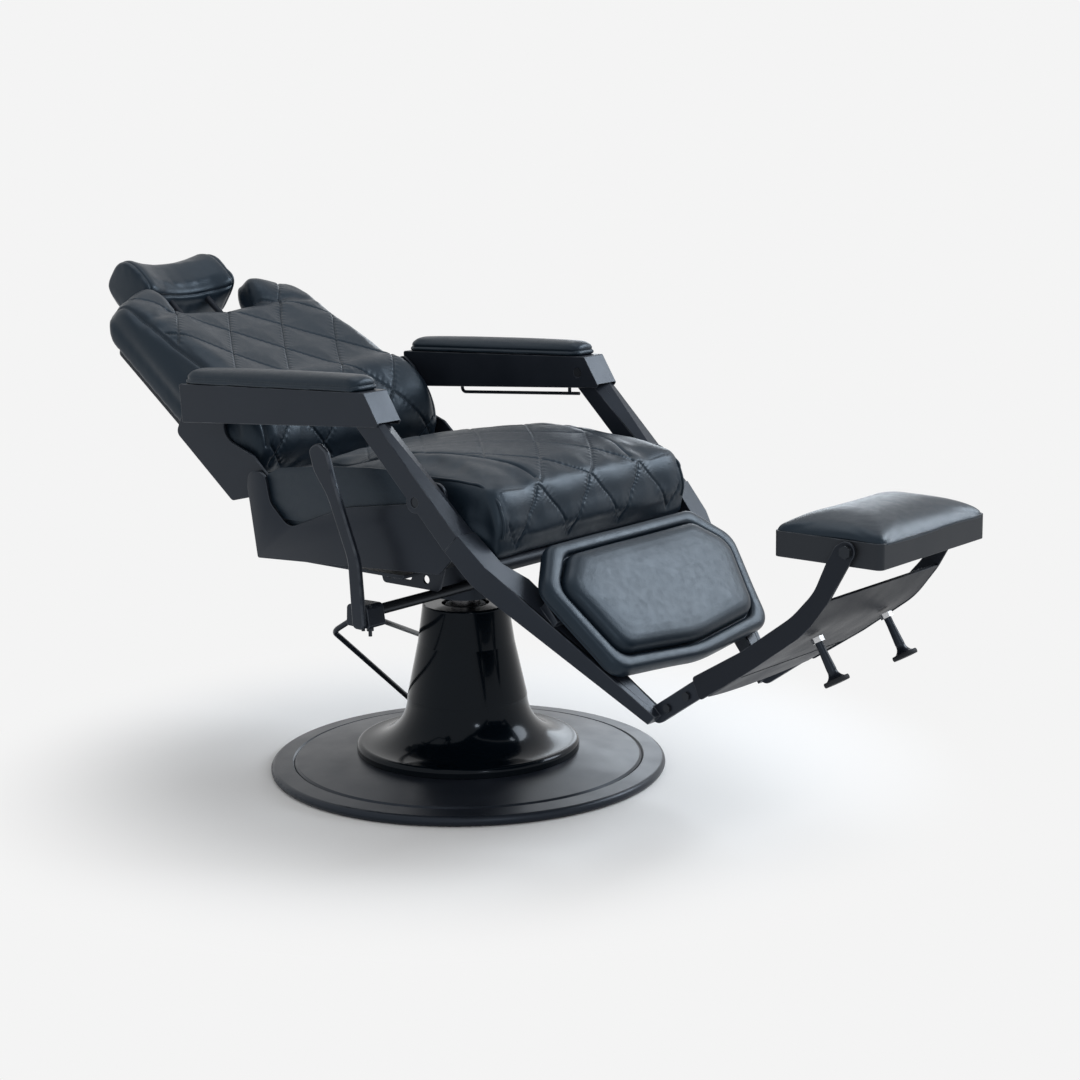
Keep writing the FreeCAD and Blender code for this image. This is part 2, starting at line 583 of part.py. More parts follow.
def make_armrests():
    """Channel beams open below, pads, release bar and the pins in front."""
    rear, nose_top, nose_low = BEAM_REAR, BEAM_NOSE_TOP, BEAM_NOSE_LOW
    outside = [(rear - 5, beam_low(rear), 4), (rear, beam_top(rear), 4), (nose_top, beam_top(nose_top), 3),
               (nose_low, beam_low(nose_low) + 5, 2), (nose_low + 3, beam_low(nose_low + 3), 0)]
    wall = BEAM_WALL
    ceiling = beam_top(nose_top) - wall - 1
    lean = (nose_top - nose_low) / (beam_top(nose_top) - beam_low(nose_low) - 5)
    cap_foot = nose_top + wall + 0.5 - lean * (ceiling - BEAM_CAP_LOW)
    inside = [(rear - 5 - wall, beam_low(rear) - 20, 0), (rear - wall - 1, beam_top(rear) - wall - 1, 0),
              (nose_top + wall + 0.5, ceiling, 0), (cap_foot, BEAM_CAP_LOW, 0),
              (nose_low - 10, BEAM_CAP_LOW, 0), (nose_low - 10, beam_low(nose_low) - 30, 0)]
    beam = plate_x(outside, BEAM_INNER, BEAM_OUTER).cut(plate_x(inside, BEAM_INNER + wall, BEAM_OUTER - wall))
    beam = beam.cut(cross_rod(BEAM_INNER - 1, BEAM_INNER + wall + 1, PIVOT_B, PIN_RADIUS + 0.6))
    beam = beam.cut(cross_rod(BEAM_INNER - 1, BEAM_INNER + wall + 1, PIVOT_C, PIN_RADIUS + RUNNING))
    post_y = (243.0, -11.0)
    middle = (BEAM_INNER + BEAM_OUTER) / 2
    guides = []
    for y in post_y:
        block = box(middle - 10, middle + 10, y - 10, y + 10, beam_low(y) + 3, beam_top(y) - wall)
        guides.append(block.cut(rod(at(middle, y, 600), at(middle, y, beam_top(y) - 8), 3 + RUNNING)))
    export(fused([beam] + guides), "armrest_beam_left")
    export(mirrored(beam), "armrest_beam_right")
    pad = make_arm_pad()
    export(pad, "armrest_pad_left")
    export(mirrored(pad), "armrest_pad_right")
    low = [at(middle, y, beam_low(y) - 13) for y in post_y]
    bar = bent_rod([at(middle, post_y[0], beam_low(post_y[0]) + 32), low[0], low[1] + at(0, -22, 1.4)], 8, 3)
    post = rod(low[1], at(middle, post_y[1], beam_low(post_y[1]) + 32), 3)
    export(fused([bar, post]), "release_bar")
    export(both(cross_rod(BEAM_INNER, BEAM_OUTER - wall - 1, PIVOT_C, PIN_RADIUS)), "armrest_front_pins")


def arm_pad_section(y, draw):
    """Cross section of an armrest pad: flat below, bulging sides, crowned top."""
    low = beam_top(y) + 0.2
    high = low + ARM_PAD_THICK - draw
    inner, outer = BEAM_INNER - 2 + draw, BEAM_OUTER + 3 - draw
    centre = (inner + outer) / 2
    to_space = lambda u, v: at(u, y, v)
    return polyline([
        (inner + 3, low), (outer - 3, low), (outer, low + 8, "arc"), (outer - 2, low + 15),
        (outer - 5, high - 5, "arc"), (outer - 13, high - 2), (centre, high, "arc"), (inner + 13, high - 2),
        (inner + 5, high - 5, "arc"), (inner + 2, low + 15), (inner, low + 8, "arc")], to_space)


def make_arm_pad():
    """Loft of an armrest pad along the beam, drawn in at both ends."""
    stations = ((353.0, 9.0), (349.0, 4.0), (337.0, 0.0), (145.0, 0.0), (-34.0, 0.0), (-47.0, 4.0),
                (-51.0, 9.0))
    return Part.makeLoft([arm_pad_section(y, draw) for y, draw in stations], True, True)


def leg_upper_section(v, stripe, inner_front):
    """Five-sided section of the upper leg bar: bevelled outer edge, front face turned inwards."""
    outer, inner = LEG_OUTER, LEG_OUTER - LEG_WIDTH
    points = [(outer, -LEG_DEPTH), (outer, -2.5), (outer - stripe, 0), (inner, inner_front),
              (inner, -LEG_DEPTH)]
    wire = [at(x, v, n) for x, n in points]
    return Part.makePolygon(wire + wire[:1])


def leg_lower_section(v, outer, width, depth):
    """Four-sided section of the lower leg bar, between the two sections of the taper."""
    points = [(outer, -depth), (outer, 0), (outer - width, 0), (outer - width, -depth)]
    wire = [at(x, v, n) for x, n in points]
    return Part.makePolygon(wire + wire[:1])


def make_leg_bars():
    """Upper and lower bars on both sides, joined by the knee tube."""
    joint_v = 40.0
    upper = Part.makeLoft([leg_upper_section(300, 9, -13), leg_upper_section(joint_v, 34, -3)], True, True)
    upper = on_leg(upper)
    inner, outer = LEG_OUTER - LEG_WIDTH, LEG_OUTER
    bosses = [cross_rod(inner, outer, PIVOT_C, 15), cross_rod(inner, outer, PIVOT_D, 17)]
    upper = fused([upper] + bosses)
    upper = upper.cut(cross_rod(inner - 1, outer + 1, PIVOT_C, PIN_RADIUS))
    upper = upper.cut(cross_rod(inner - 1, outer + 1, PIVOT_D, PIN_RADIUS + RUNNING))
    lower = Part.makeLoft([
        leg_lower_section(joint_v, outer, LEG_WIDTH, LEG_DEPTH),
        leg_lower_section(-25, 287, 41, 43), leg_lower_section(-62, 271, 56, 43),
        leg_lower_section(LEG_FOOT_V, LEG_FOOT_OUTER, LEG_FOOT_WIDTH, LEG_FOOT_DEPTH)], True, True)
    lift = plate_x([(-152, -5, 0), (-115, -5, 0), (-115, 14.0, 0), (-152, 11.1, 0)], 206, 234)
    link = link_plate(LINK_ENDS[0], LINK_ENDS[1], 14, 14, *LINK_PLATE)
    lower = fused([on_leg(lower), on_leg(lift), link])
    for place in LINK_BOLTS:
        lower = lower.cut(cross_rod(LINK_PLATE[0] - 1, LINK_PLATE[1] + 1, place, 4))
    for name, bar in (("upper", upper), ("lower", lower)):
        export(bar, "leg_%s_left" % name)
        export(mirrored(bar), "leg_%s_right" % name)
    tube = on_leg(cross_rod(-252, 252, (-14, -26), 11))
    export(tube.cut(lower).cut(mirrored(lower)), "knee_tube")


def calf_outline(inset, level):
    """Shield outline of the calf pad at one level, in the pad's own plane (x, w)."""
    corners = [(182 - inset, 250 - inset, 30), (246 - 1.2 * inset, 186 - 0.4 * inset, 36),
               (200 - inset, 22 + inset, 36), (0, 4 + inset, 300)]
    outline = corners + [(-x, w, r) for x, w, r in reversed(corners[:-1])]
    return rounded_wire(outline, lambda u, v: at(u, v, level))


def on_calf(shape):
    """Place a shape made in the calf pad's plane, which leans a little out of the leg frame."""
    leaned = shape.copy()
    leaned.rotate(at(0, 0, 0), at(1, 0, 0), 4.5)
    leaned.translate(at(0, -288, 0.5))
    return on_leg(leaned)


def make_calf_pad():
    """Board, and a two-tier pad with a rolled rim and a raised shield."""
    board = Part.Face(calf_outline(16, 0)).extrude(at(0, 0, 8))
    export(on_calf(board), "calf_board")
    rim = Part.makeLoft([calf_outline(i, n) for i, n in ((6, 8.2), (0, 14), (1, 21), (9, 27))], True, True)
    tiers = ((30, 24), (28, 34), (34, 40), (46, 44), (66, 46))
    shield = Part.makeLoft([calf_outline(i, n) for i, n in tiers], True, True)
    export(on_calf(fused([rim, shield])), "calf_pad")


def make_footrest():
    """Side arms, tread, pegs, bolts, and the flip pad's box and cushion."""
    pivot_y, pivot_z = FLIP_PIVOT
    arm = plate_x([
        (-604, 250, 5), (-698, 312, 200), (-789, 379, 150), (-828, 430, 120), (-862, 490, 40),
        (pivot_y - 17, pivot_z + 2, 14), (pivot_y, pivot_z + 18, 14), (pivot_y + 19, pivot_z + 6, 14),
        (-823, 486, 30), (-804, 443, 90), (-767, 402, 150), (-680, 338, 200), (-590, 284, 6)], *ARM_PLATE)
    arm = arm.cut(cross_rod(ARM_PLATE[0] - 1, ARM_PLATE[1] + 1, FLIP_PIVOT, 6))
    export(arm, "footrest_arm_left")
    export(mirrored(arm), "footrest_arm_right")
    sheet = [(-664, 296, 0), (-698, 319, 200), (-789, 387, 150), (-826, 436, 0), (-830, 433.5, 0),
             (-792, 383, 150), (-700, 315, 200), (-666, 292.5, 0)]
    lip = polyline([(-135, 0), (135, 0), (135, 72), (0, 94, "arc"), (-135, 72)], lambda u, v: at(u, v, -4))
    lip = Part.Face(lip).extrude(at(0, 0, 4))
    lip.rotate(at(0, 0, 0), at(1, 0, 0), -34.1)
    lip.translate(at(0, -664, 296))
    export(fused([plate_x(sheet, -TREAD_HALF, TREAD_HALF), lip]), "foot_tread")
    bolts = [hex_bolt(4, 7, at(LINK_PLATE[1], y, z), at(LINK_PLATE[0] - 5, y, z), -4) for y, z in LINK_BOLTS]
    export(Part.makeCompound(bolts + [mirrored(b) for b in bolts]), "link_bolts")
    pivot = hex_bolt(6, 10, at(ARM_PLATE[1], pivot_y, pivot_z), at(132, pivot_y, pivot_z), -6)
    export(both(pivot), "flip_pivot_bolts")
    make_pegs()
    make_flip_pad()


def make_pegs():
    """Two stabiliser pegs with bright nuts at their roots and rubber feet."""
    root = at(PEG_X, PEG_ROOT[0], PEG_ROOT[1])
    axis = (at(PEG_X, PEG_FOOT[0], PEG_FOOT[1]) - root).normalize()
    length = math.hypot(PEG_FOOT[0] - PEG_ROOT[0], PEG_FOOT[1] - PEG_ROOT[1])
    stem = turned([(0, 9), (6, 9), (6, 20), (7.5, length - 22), (9.5, length - 12, "arc"), (15, length - 7),
                   (0, length - 7)], root, axis)
    foot = turned([(0, length - 7), (19, length - 7), (20, length - 4, "arc"), (19, length), (0, length)],
                  root, axis)
    nut = hex_bolt(4, 10, root + axis, root + axis * 9, 8)
    export(both(stem), "stabiliser_pegs")
    export(both(foot), "peg_feet")
    export(both(nut), "peg_nuts")


def flip_outline(inset, level):
    """Rounded rectangle of the flip pad at one level."""
    half = FLIP_HALF - inset
    front, rear = FLIP_FRONT + inset, FLIP_REAR - inset
    corners = [(-half, front, 10), (half, front, 10), (half, rear, 10), (-half, rear, 10)]
    return rounded_wire(corners, lambda u, v: at(u, v, level))


def make_flip_pad():
    """Open box that turns on the pivot bolts, and the crowned cushion on it."""
    tray = Part.Face(flip_outline(0, FLIP_LOW)).extrude(at(0, 0, FLIP_RIM - FLIP_LOW))
    hollow = Part.Face(flip_outline(3, FLIP_LOW + 3)).extrude(at(0, 0, FLIP_RIM - FLIP_LOW))
    tray = tray.cut(hollow)
    for side in (-1, 1):
        tray = tray.cut(cross_rod(side * 140, side * 147, FLIP_PIVOT, 6 + RUNNING))
    export(tray, "flip_pad_box")
    levels = ((2, FLIP_RIM + 0.2), (0, FLIP_RIM + 4), (3, FLIP_RIM + 9), (14, FLIP_RIM + 15),
              (34, FLIP_RIM + 19), (70, FLIP_CROWN))
    export(Part.makeLoft([flip_outline(i, z) for i, z in levels], True, True), "flip_pad_cushion")


def make_pump_lever():
    """Pump shaft, clamp block with studs, hand lever with a spoon grip, and the foot loop."""
    y, z = PUMP_AXIS
    export(cross_rod(LEVER_X[1], 28, PUMP_AXIS, SHAFT_RADIUS), "pump_shaft")
    clamp = plate_x([(y - 26, z - 20, 5), (y + 26, z - 20, 5), (y + 24, z + 16, 8), (y - 20, z + 17, 8)],
                    -302, -264)
    clamp = clamp.cut(cross_rod(-303, -263, PUMP_AXIS, SHAFT_RADIUS))
    stud_places = [(-292, y - 17), (-273, y + 17)]
    studs = []
    for sx, sy in stud_places:
        clamp = clamp.cut(rod(at(sx, sy, z - 40), at(sx, sy, z + 40), 3))
        studs.append(hex_bolt(3, 6, at(sx, sy, z - 20), at(sx, sy, z + 14), -5).fuse(
            rod(at(sx, sy, z - 34), at(sx, sy, z - 20), 3)))
    lever = plate_x([
        (-62, 309, 10), (-36, 309, 10), (-30, 420, 90), (12, 520, 110), (40, 556, 40), (51, 592, 12),
        (30, 603, 12), (10, 590, 16), (-6, 540, 60), (-54, 420, 110)], *LEVER_X)
    export(clamp, "lever_clamp")
    export(Part.makeCompound(studs), "clamp_studs")
    export(lever, "hand_lever")
    loop = bent_rod([at(-284, y + 23.2, z - 10.3), at(-284, 34, 289), at(18, 152, 88), at(112, 176, 112),
                     at(50, 152, 199), at(-266.6, y + 10.5, z - 9)], 26, LOOP_RADIUS)
    export(loop.cut(clamp), "foot_loop")


def export(shape, name):
    """Write one node and print what it is."""
    shape.exportStep("parts/%s.step" % name)
    print("%-22s solids %d  volume %.1f cm3" % (name, len(shape.Solids), shape.Volume / 1000))


os.makedirs("parts", exist_ok=True)
make_base()
make_lift()
make_head()
make_seat_frame()
make_strut()
make_seat_cushion()
make_back()
make_headrest()
make_armrests()
make_leg_bars()
make_calf_pad()
make_footrest()
make_pump_lever()
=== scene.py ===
# %% [markdown]
# A barber chair stands reclined on a round base, upholstered in black quilted leathercloth.
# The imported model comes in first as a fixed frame: it holds every rigid part at its real size.
# All looks are built around it in the same metres, so nothing has to be fitted afterwards.

# %% Load the frame
import json
import math

import bmesh
import bpy
import numpy as np
from mathutils import Matrix, Vector
from mathutils.bvhtree import BVHTree
from mathutils.kdtree import KDTree

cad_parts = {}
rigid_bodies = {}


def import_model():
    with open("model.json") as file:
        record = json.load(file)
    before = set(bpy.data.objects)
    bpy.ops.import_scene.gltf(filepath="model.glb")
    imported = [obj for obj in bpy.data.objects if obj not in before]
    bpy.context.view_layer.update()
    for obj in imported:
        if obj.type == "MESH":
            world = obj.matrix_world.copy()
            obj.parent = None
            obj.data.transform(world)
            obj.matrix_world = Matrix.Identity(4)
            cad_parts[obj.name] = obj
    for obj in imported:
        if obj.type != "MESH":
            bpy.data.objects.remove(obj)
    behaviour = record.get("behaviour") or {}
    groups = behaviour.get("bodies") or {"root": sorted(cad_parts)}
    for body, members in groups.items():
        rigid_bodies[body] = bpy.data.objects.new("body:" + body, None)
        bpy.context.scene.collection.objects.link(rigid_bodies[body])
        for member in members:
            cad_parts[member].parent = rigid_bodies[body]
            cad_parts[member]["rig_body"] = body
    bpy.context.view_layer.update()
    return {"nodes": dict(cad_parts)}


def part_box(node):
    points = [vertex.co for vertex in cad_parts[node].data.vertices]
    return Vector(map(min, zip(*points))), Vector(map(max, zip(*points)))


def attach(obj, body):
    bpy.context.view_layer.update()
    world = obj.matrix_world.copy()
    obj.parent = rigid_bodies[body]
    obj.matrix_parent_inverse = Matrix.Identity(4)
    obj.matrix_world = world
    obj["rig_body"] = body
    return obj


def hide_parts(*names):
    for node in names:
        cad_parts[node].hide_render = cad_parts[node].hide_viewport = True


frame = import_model()
MM = 0.001
scene = bpy.context.scene


def placed(name, data):
    """New object in the scene."""
    made = bpy.data.objects.new(name, data)
    scene.collection.objects.link(made)
    return made


def set_all(target, **values):
    """Set some properties of one thing."""
    for key, value in values.items():
        setattr(target, key, value)


def evaluated(made):
    """An object as its modifiers leave it."""
    return made.evaluated_get(bpy.context.evaluated_depsgraph_get())


def shaped_by(made, kind, **settings):
    """Plain mesh of an object as one modifier shapes it."""
    modifier = made.modifiers.new("shaping", kind)
    set_all(modifier, **settings)
    mesh = bpy.data.meshes.new_from_object(evaluated(made))
    made.modifiers.remove(modifier)
    return mesh


# %% [markdown]
# The chair is seen from the sitter's right and a little above, through a long lens.
# A camera can be aimed with a constraint, but here a chain of moves places it in the same way every time:
# it starts at the chair's middle, turns, tilts, steps back and a little aside, and rolls until the picture is level.

# %% Camera at the photograph's angle
VIEW_TURN = math.radians(-50.0)
VIEW_RISE = math.radians(11.55)
VIEW_ROLL = math.radians(0.81)
VIEW_DISTANCE = 3.8935
VIEW_ASIDE = 0.1288
VIEW_HEIGHT = 0.3956
LENS = 76.42
SENSOR = 36.0
lens = bpy.data.cameras.new("camera")
set_all(lens, sensor_width=SENSOR, lens=LENS)
camera = placed("camera", lens)
camera.matrix_world = (
    Matrix.Translation((0, 0, VIEW_HEIGHT)) @ Matrix.Rotation(VIEW_TURN, 4, "Z")
    @ Matrix.Rotation(math.pi / 2 - VIEW_RISE, 4, "X") @ Matrix.Translation((VIEW_ASIDE, 0, VIEW_DISTANCE))
    @ Matrix.Rotation(-VIEW_ROLL, 4, "Z"))
scene.camera = camera
print("camera at", [round(x, 3) for x in camera.matrix_world.translation])

# %% [markdown]
# Black leathercloth and black paint show little of their own colour: what reads is what they reflect.
# A pale room all round gives the soft grey of the tops, one large soft box on the far side lights the faces
# that lean forward, and the near sides stay dark. The floor is lit near the chair, so that it keeps the shadow,
# and passes into the pale of the room further out.
# Nodes are made by one helper: an input takes a plain value, or a link when it is given another node or its socket.

# %% Studio floor, room and soft boxes
WHITE = (1.0, 1.0, 1.0, 1.0)
ROOM_PALE = 0.905
FILL_STRENGTH = 0.57
FLOOR_GREY = (0.90, 0.90, 0.90, 1.0)
FLOOR_SIZE = 60.0
FLOOR_LIT_RADIUS = 0.42
FLOOR_PALE_RADIUS = 1.6
FLOOR_SEEN_RADIUS = 0.9


def give(tree, made, sockets=None, **inputs):
    """Fill a node's inputs, by number or by name, with values or with links; a node stands for its first output."""
    named = {key.replace("_", " "): value for key, value in inputs.items()}
    for key, value in {**(sockets or {}), **named}.items():
        value = value.outputs[0] if isinstance(value, bpy.types.Node) else value
        if isinstance(value, bpy.types.NodeSocket):
            tree.links.new(value, made.inputs[key])
        else:
            made.inputs[key].default_value = value


def add(tree, kind, settings=None, sockets=None, **inputs):
    """New node of a kind, with its settings and its inputs."""
    made = tree.nodes.new(kind)
    set_all(made, **(settings or {}))
    give(tree, made, sockets, **inputs)
    return made


def reckon(tree, operation, first, second, clamp=False):
    """Sum or product of two values."""
    return add(tree, "ShaderNodeMath", {"operation": operation, "use_clamp": clamp}, {0: first, 1: second})


def blank_finish(name):
    """New material, with its tree, its shader and the socket of the object's own coordinates."""
    material = bpy.data.materials.new(name)
    material.use_nodes = True
    tree = material.node_tree
    return material, tree, tree.nodes["Principled BSDF"], add(tree, "ShaderNodeTexCoord").outputs["Object"]


def seen_rays(tree):
    """Node that gives 1 for rays from the camera and for mirrored and refracted ones."""
    path = add(tree, "ShaderNodeLightPath").outputs
    either = reckon(tree, "ADD", path["Is Camera Ray"], path["Is Glossy Ray"])
    return reckon(tree, "ADD", either, path["Is Transmission Ray"], True)


def make_room():
    """World: pale where it is seen or reflected, softer where it only fills the shade."""
    scene.world = bpy.data.worlds.new("room")
    scene.world.use_nodes = True
    tree = scene.world.node_tree
    tree.nodes.clear()
    fill, pale = (add(tree, "ShaderNodeBackground", Color=WHITE, Strength=strength)
                  for strength in (FILL_STRENGTH, ROOM_PALE))
    blend = add(tree, "ShaderNodeMixShader", None, {0: seen_rays(tree), 1: fill, 2: pale})
    add(tree, "ShaderNodeOutputWorld", Surface=blend)


def make_floor():
    """Large floor, lit near the chair and as pale as the room further out, sooner where it is seen."""
    half = FLOOR_SIZE / 2
    mesh = bpy.data.meshes.new("floor")
    mesh.from_pydata([(-half, -half, 0), (half, -half, 0), (half, half, 0), (-half, half, 0)], [], [(0, 1, 2, 3)])
    material, tree, lit, place = blank_finish("pale_floor")
    give(tree, lit, Base_Color=FLOOR_GREY, Roughness=0.9, Specular_IOR_Level=0.1)
    reach = add(tree, "ShaderNodeVectorMath", {"operation": "LENGTH"}, {0: place}).outputs["Value"]
    wide, near = (add(tree, "ShaderNodeMapRange", {"interpolation_type": "SMOOTHSTEP"}, Value=reach,
                      From_Min=FLOOR_LIT_RADIUS, From_Max=radius)
                  for radius in (FLOOR_PALE_RADIUS, FLOOR_SEEN_RADIUS))
    share = add(tree, "ShaderNodeMix", {"data_type": "FLOAT"}, {0: seen_rays(tree), 2: wide, 3: near})
    pale = add(tree, "ShaderNodeEmission", Color=WHITE, Strength=ROOM_PALE)
    blend = add(tree, "ShaderNodeMixShader", None, {0: share, 1: lit, 2: pale})
    give(tree, tree.nodes["Material Output"], Surface=blend)
    mesh.materials.append(material)
    placed("floor", mesh)


def soft_box(name, place, aim, width, height, power, colour=(0.93, 0.965, 1.0)):
    """Round soft light that looks from its place at a point of the chair."""
    data = bpy.data.lights.new(name, "AREA")
    set_all(data, shape="ELLIPSE", size=width, size_y=height, energy=power, color=colour)
    lamp = placed(name, data)
    turned = (Vector(aim) - Vector(place)).to_track_quat("-Z", "Y").to_euler()
    set_all(lamp, location=place, rotation_euler=turned, visible_camera=False)
    return lamp


scene.view_settings.view_transform = "Standard"
make_room()
make_floor()
lamps = [
    soft_box("far_soft_box", (2.6, -1.9, 2.5), (0.0, -0.4, 0.45), 2.0, 2.0, 104.0, (0.88, 0.94, 1.0)),
    soft_box("rear_soft_box", (3.6, 1.8, 1.35), (0.0, -0.8, 0.5), 1.5, 1.2, 15.0, (0.82, 0.91, 1.0)),
    soft_box("top_soft_box", (0.2, 0.6, 3.4), (0.0, 0.0, 0.4), 2.4, 2.4, 16.0),
    soft_box("front_soft_box", (-2.1, -3.4, 1.9), (0.0, -0.2, 0.3), 0.5, 0.5, 12.0),
]
print("soft boxes:", [lamp.name for lamp in lamps])

# %% [markdown]
# The upholstery is black leathercloth with a fine pebble grain, slightly blue where it catches the light.
# A picture of leather could be wrapped round each pad, but a grain made from cells in the object's own space
# needs no unwrapping and never stretches. The cells' borders sink, a slow noise varies gloss and tint.

# %% Leathercloth
LEATHER_DARK = (0.0050, 0.0095, 0.0155)
LEATHER_PALE = (0.0085, 0.0145, 0.0225)
LEATHER_GLOSS = (0.66, 0.83, 1.0, 1.0)
GRAIN_PER_METRE = 640.0


def mix_colours(tree, factor, *ends):
    """Socket that passes from one colour to another by a factor; an end is a colour or a socket."""
    first, second = (end if isinstance(end, bpy.types.NodeSocket) else (*end, 1.0) for end in ends)
    return add(tree, "ShaderNodeMix", {"data_type": "RGBA"}, {0: factor, 6: first, 7: second}).outputs[2]


def map_range(tree, value, low, high, to_low, to_high):
    """Value mapped from one range to another."""
    return add(tree, "ShaderNodeMapRange", Value=value, From_Min=low, From_Max=high, To_Min=to_low, To_Max=to_high)


def noise(tree, place, scale, detail=2.0, roughness=0.5):
    """Noise in a place's coordinates."""
    return add(tree, "ShaderNodeTexNoise", Vector=place, Scale=scale, Detail=detail, Roughness=roughness)


def stretched(tree, place, scale):
    """Coordinates scaled by another amount along each axis."""
    return add(tree, "ShaderNodeMapping", Vector=place, Scale=scale)


def bump(tree, height, distance, strength, under=None):
    """Bump from a height, on top of another bump if there is one."""
    sockets = {} if under is None else {"Normal": under}
    return add(tree, "ShaderNodeBump", None, sockets, Height=height, Distance=distance, Strength=strength)


def leathercloth():
    material, tree, shader, place = blank_finish("black_leathercloth")
    cells = add(tree, "ShaderNodeTexVoronoi", {"feature": "DISTANCE_TO_EDGE"}, Vector=place, Scale=GRAIN_PER_METRE)
    pebbles = map_range(tree, cells.outputs["Distance"], 0.0, 0.22, 0.0, 1.0)
    slow = noise(tree, place, 9.0, 3.0)
    creases = noise(tree, place, 70.0, 4.0, 0.6)
    waves = bump(tree, creases, 0.0008, 0.20)
    give(tree, shader, Base_Color=mix_colours(tree, slow, LEATHER_DARK, LEATHER_PALE),
         Roughness=map_range(tree, creases, 0.3, 0.7, 0.33, 0.43), Normal=bump(tree, pebbles, 0.00012, 0.35, waves),
         Specular_IOR_Level=0.32, Specular_Tint=LEATHER_GLOSS)
    return material


LEATHER = leathercloth()
print("leather:", LEATHER.name)

# %% [markdown]
# The frame is powder-coated steel: a satin black skin with a very fine orange peel that catches wide soft
# highlights. The pedestal is smoother, stove-enamelled and waxed, so it mirrors the room in thin bright lines.
# Both are one shader each, with gloss and bump varied by noise, so no two faces look stamped from one colour.
# Along the rounded edges the coat is paler in patches: partly wear where hands and cloths rub, partly a painted edge
# highlight; an attribute of the rounded edges carries that.

# %% Metal, rubber, wood and thread
SATIN_BLACK = (0.0085, 0.0105, 0.0150)
GLOSS_BLACK = (0.0008, 0.0020, 0.0035)
METAL_GLOSS = (0.70, 0.83, 1.0, 1.0)
# Paler coat colour along the rounded edges: partly wear, partly a painted edge highlight
EDGE_WEAR_AND_HIGHLIGHT = (0.060, 0.066, 0.076)
PLY_DARK = (0.010, 0.009, 0.008)
PLY_PALE = (0.024, 0.020, 0.016)


def scaled(colour, factor):
    return tuple(factor * c for c in colour)


def satin_coat(name, colour, rough_low, rough_high, peel, gloss=0.28):
    """Powder coat with a fine peel, paler in patches along the rounded edges: partly wear, partly a painted edge
    highlight.
    """
    material, tree, shader, place = blank_finish(name)
    slow = noise(tree, place, 14.0, 4.0)
    skin = mix_colours(tree, slow, colour, scaled(colour, 1.5))
    edge = add(tree, "ShaderNodeAttribute", {"attribute_name": "edge_wear_and_highlight"}).outputs["Fac"]
    patches = map_range(tree, noise(tree, place, 38.0, 3.0), 0.36, 0.62, 0.0, 0.75)
    wear_and_highlight = reckon(tree, "MULTIPLY", edge, patches)
    # Mix in the paler edge colour: partly wear, partly a painted edge highlight
    give(tree, shader, Base_Color=mix_colours(tree, wear_and_highlight, skin, EDGE_WEAR_AND_HIGHLIGHT),
         Roughness=map_range(tree, slow, 0.3, 0.7, rough_low, rough_high),
         Normal=bump(tree, noise(tree, place, 1400.0), peel, 0.5),
         Specular_IOR_Level=gloss, Specular_Tint=METAL_GLOSS)
    return material


def gloss_enamel():
    material, tree, shader, place = blank_finish("gloss_enamel")
    slow = noise(tree, place, 7.0, 3.0)
    give(tree, shader, Base_Color=mix_colours(tree, slow, GLOSS_BLACK, scaled(GLOSS_BLACK, 1.8)),
         Roughness=map_range(tree, slow, 0.3, 0.7, 0.13, 0.22),
         Normal=bump(tree, noise(tree, place, 160.0), 0.0001, 0.08),
         Specular_IOR_Level=0.10, Specular_Tint=METAL_GLOSS, Coat_Weight=0.10, Coat_Roughness=0.05)
    return material


def bright_metal(name, colour, rough_low, rough_high):
    """Bare metal with the fine lines of the lathe."""
    material, tree, shader, place = blank_finish(name)
    lines = noise(tree, stretched(tree, place, (40.0, 40.0, 1500.0)), 1.0, 3.0)
    give(tree, shader, Base_Color=mix_colours(tree, lines, scaled(colour, 0.7), colour),
         Roughness=map_range(tree, lines, 0.3, 0.7, rough_low, rough_high),
         Normal=bump(tree, lines, 0.00005, 0.15), Metallic=1.0)
    return material


def stained_ply():
    material, tree, shader, place = blank_finish("stained_ply")
    streaks = noise(tree, stretched(tree, place, (4.0, 60.0, 400.0)), 3.0, 5.0, 0.6)
    give(tree, shader, Base_Color=mix_colours(tree, streaks, PLY_DARK, PLY_PALE),
         Roughness=map_range(tree, streaks, 0.3, 0.7, 0.55, 0.75), Normal=bump(tree, streaks, 0.0003, 0.3))
    return material


FINISHES = {
    "satin_black": satin_coat("satin_powder_coat", SATIN_BLACK, 0.30, 0.40, 0.00006),
    "gloss_black": gloss_enamel(),
    "steel": bright_metal("turned_steel", (0.62, 0.63, 0.65), 0.18, 0.34),
    "bronze": bright_metal("bush_bronze", (0.55, 0.36, 0.16), 0.25, 0.40),
    "rubber": satin_coat("black_rubber", (0.012, 0.012, 0.013), 0.62, 0.80, 0.00015),
    "ply": stained_ply(),
    "plastic": satin_coat("moulded_plastic", (0.013, 0.014, 0.016), 0.42, 0.52, 0.00010),
    "upholstery": LEATHER,
}
THREAD = satin_coat("sewing_thread", (0.005, 0.008, 0.011), 0.70, 0.85, 0.00020, 0.12)
BLACKENED = satin_coat("blackened_steel", (0.010, 0.011, 0.013), 0.26, 0.38, 0.00003)
# Duller coat for the tread, footrest arms, knee tube and headrest posts; its darker colour is painted shade, since
# these parts sit in shade under and behind the chair
SHADE_DARKENED_COAT = satin_coat("shade_darkened_coat", (0.006, 0.007, 0.010), 0.42, 0.56, 0.00020, 0.22)
OWN_FINISH = {"ram": bright_metal("ground_ram", (0.22, 0.22, 0.23), 0.20, 0.32)}
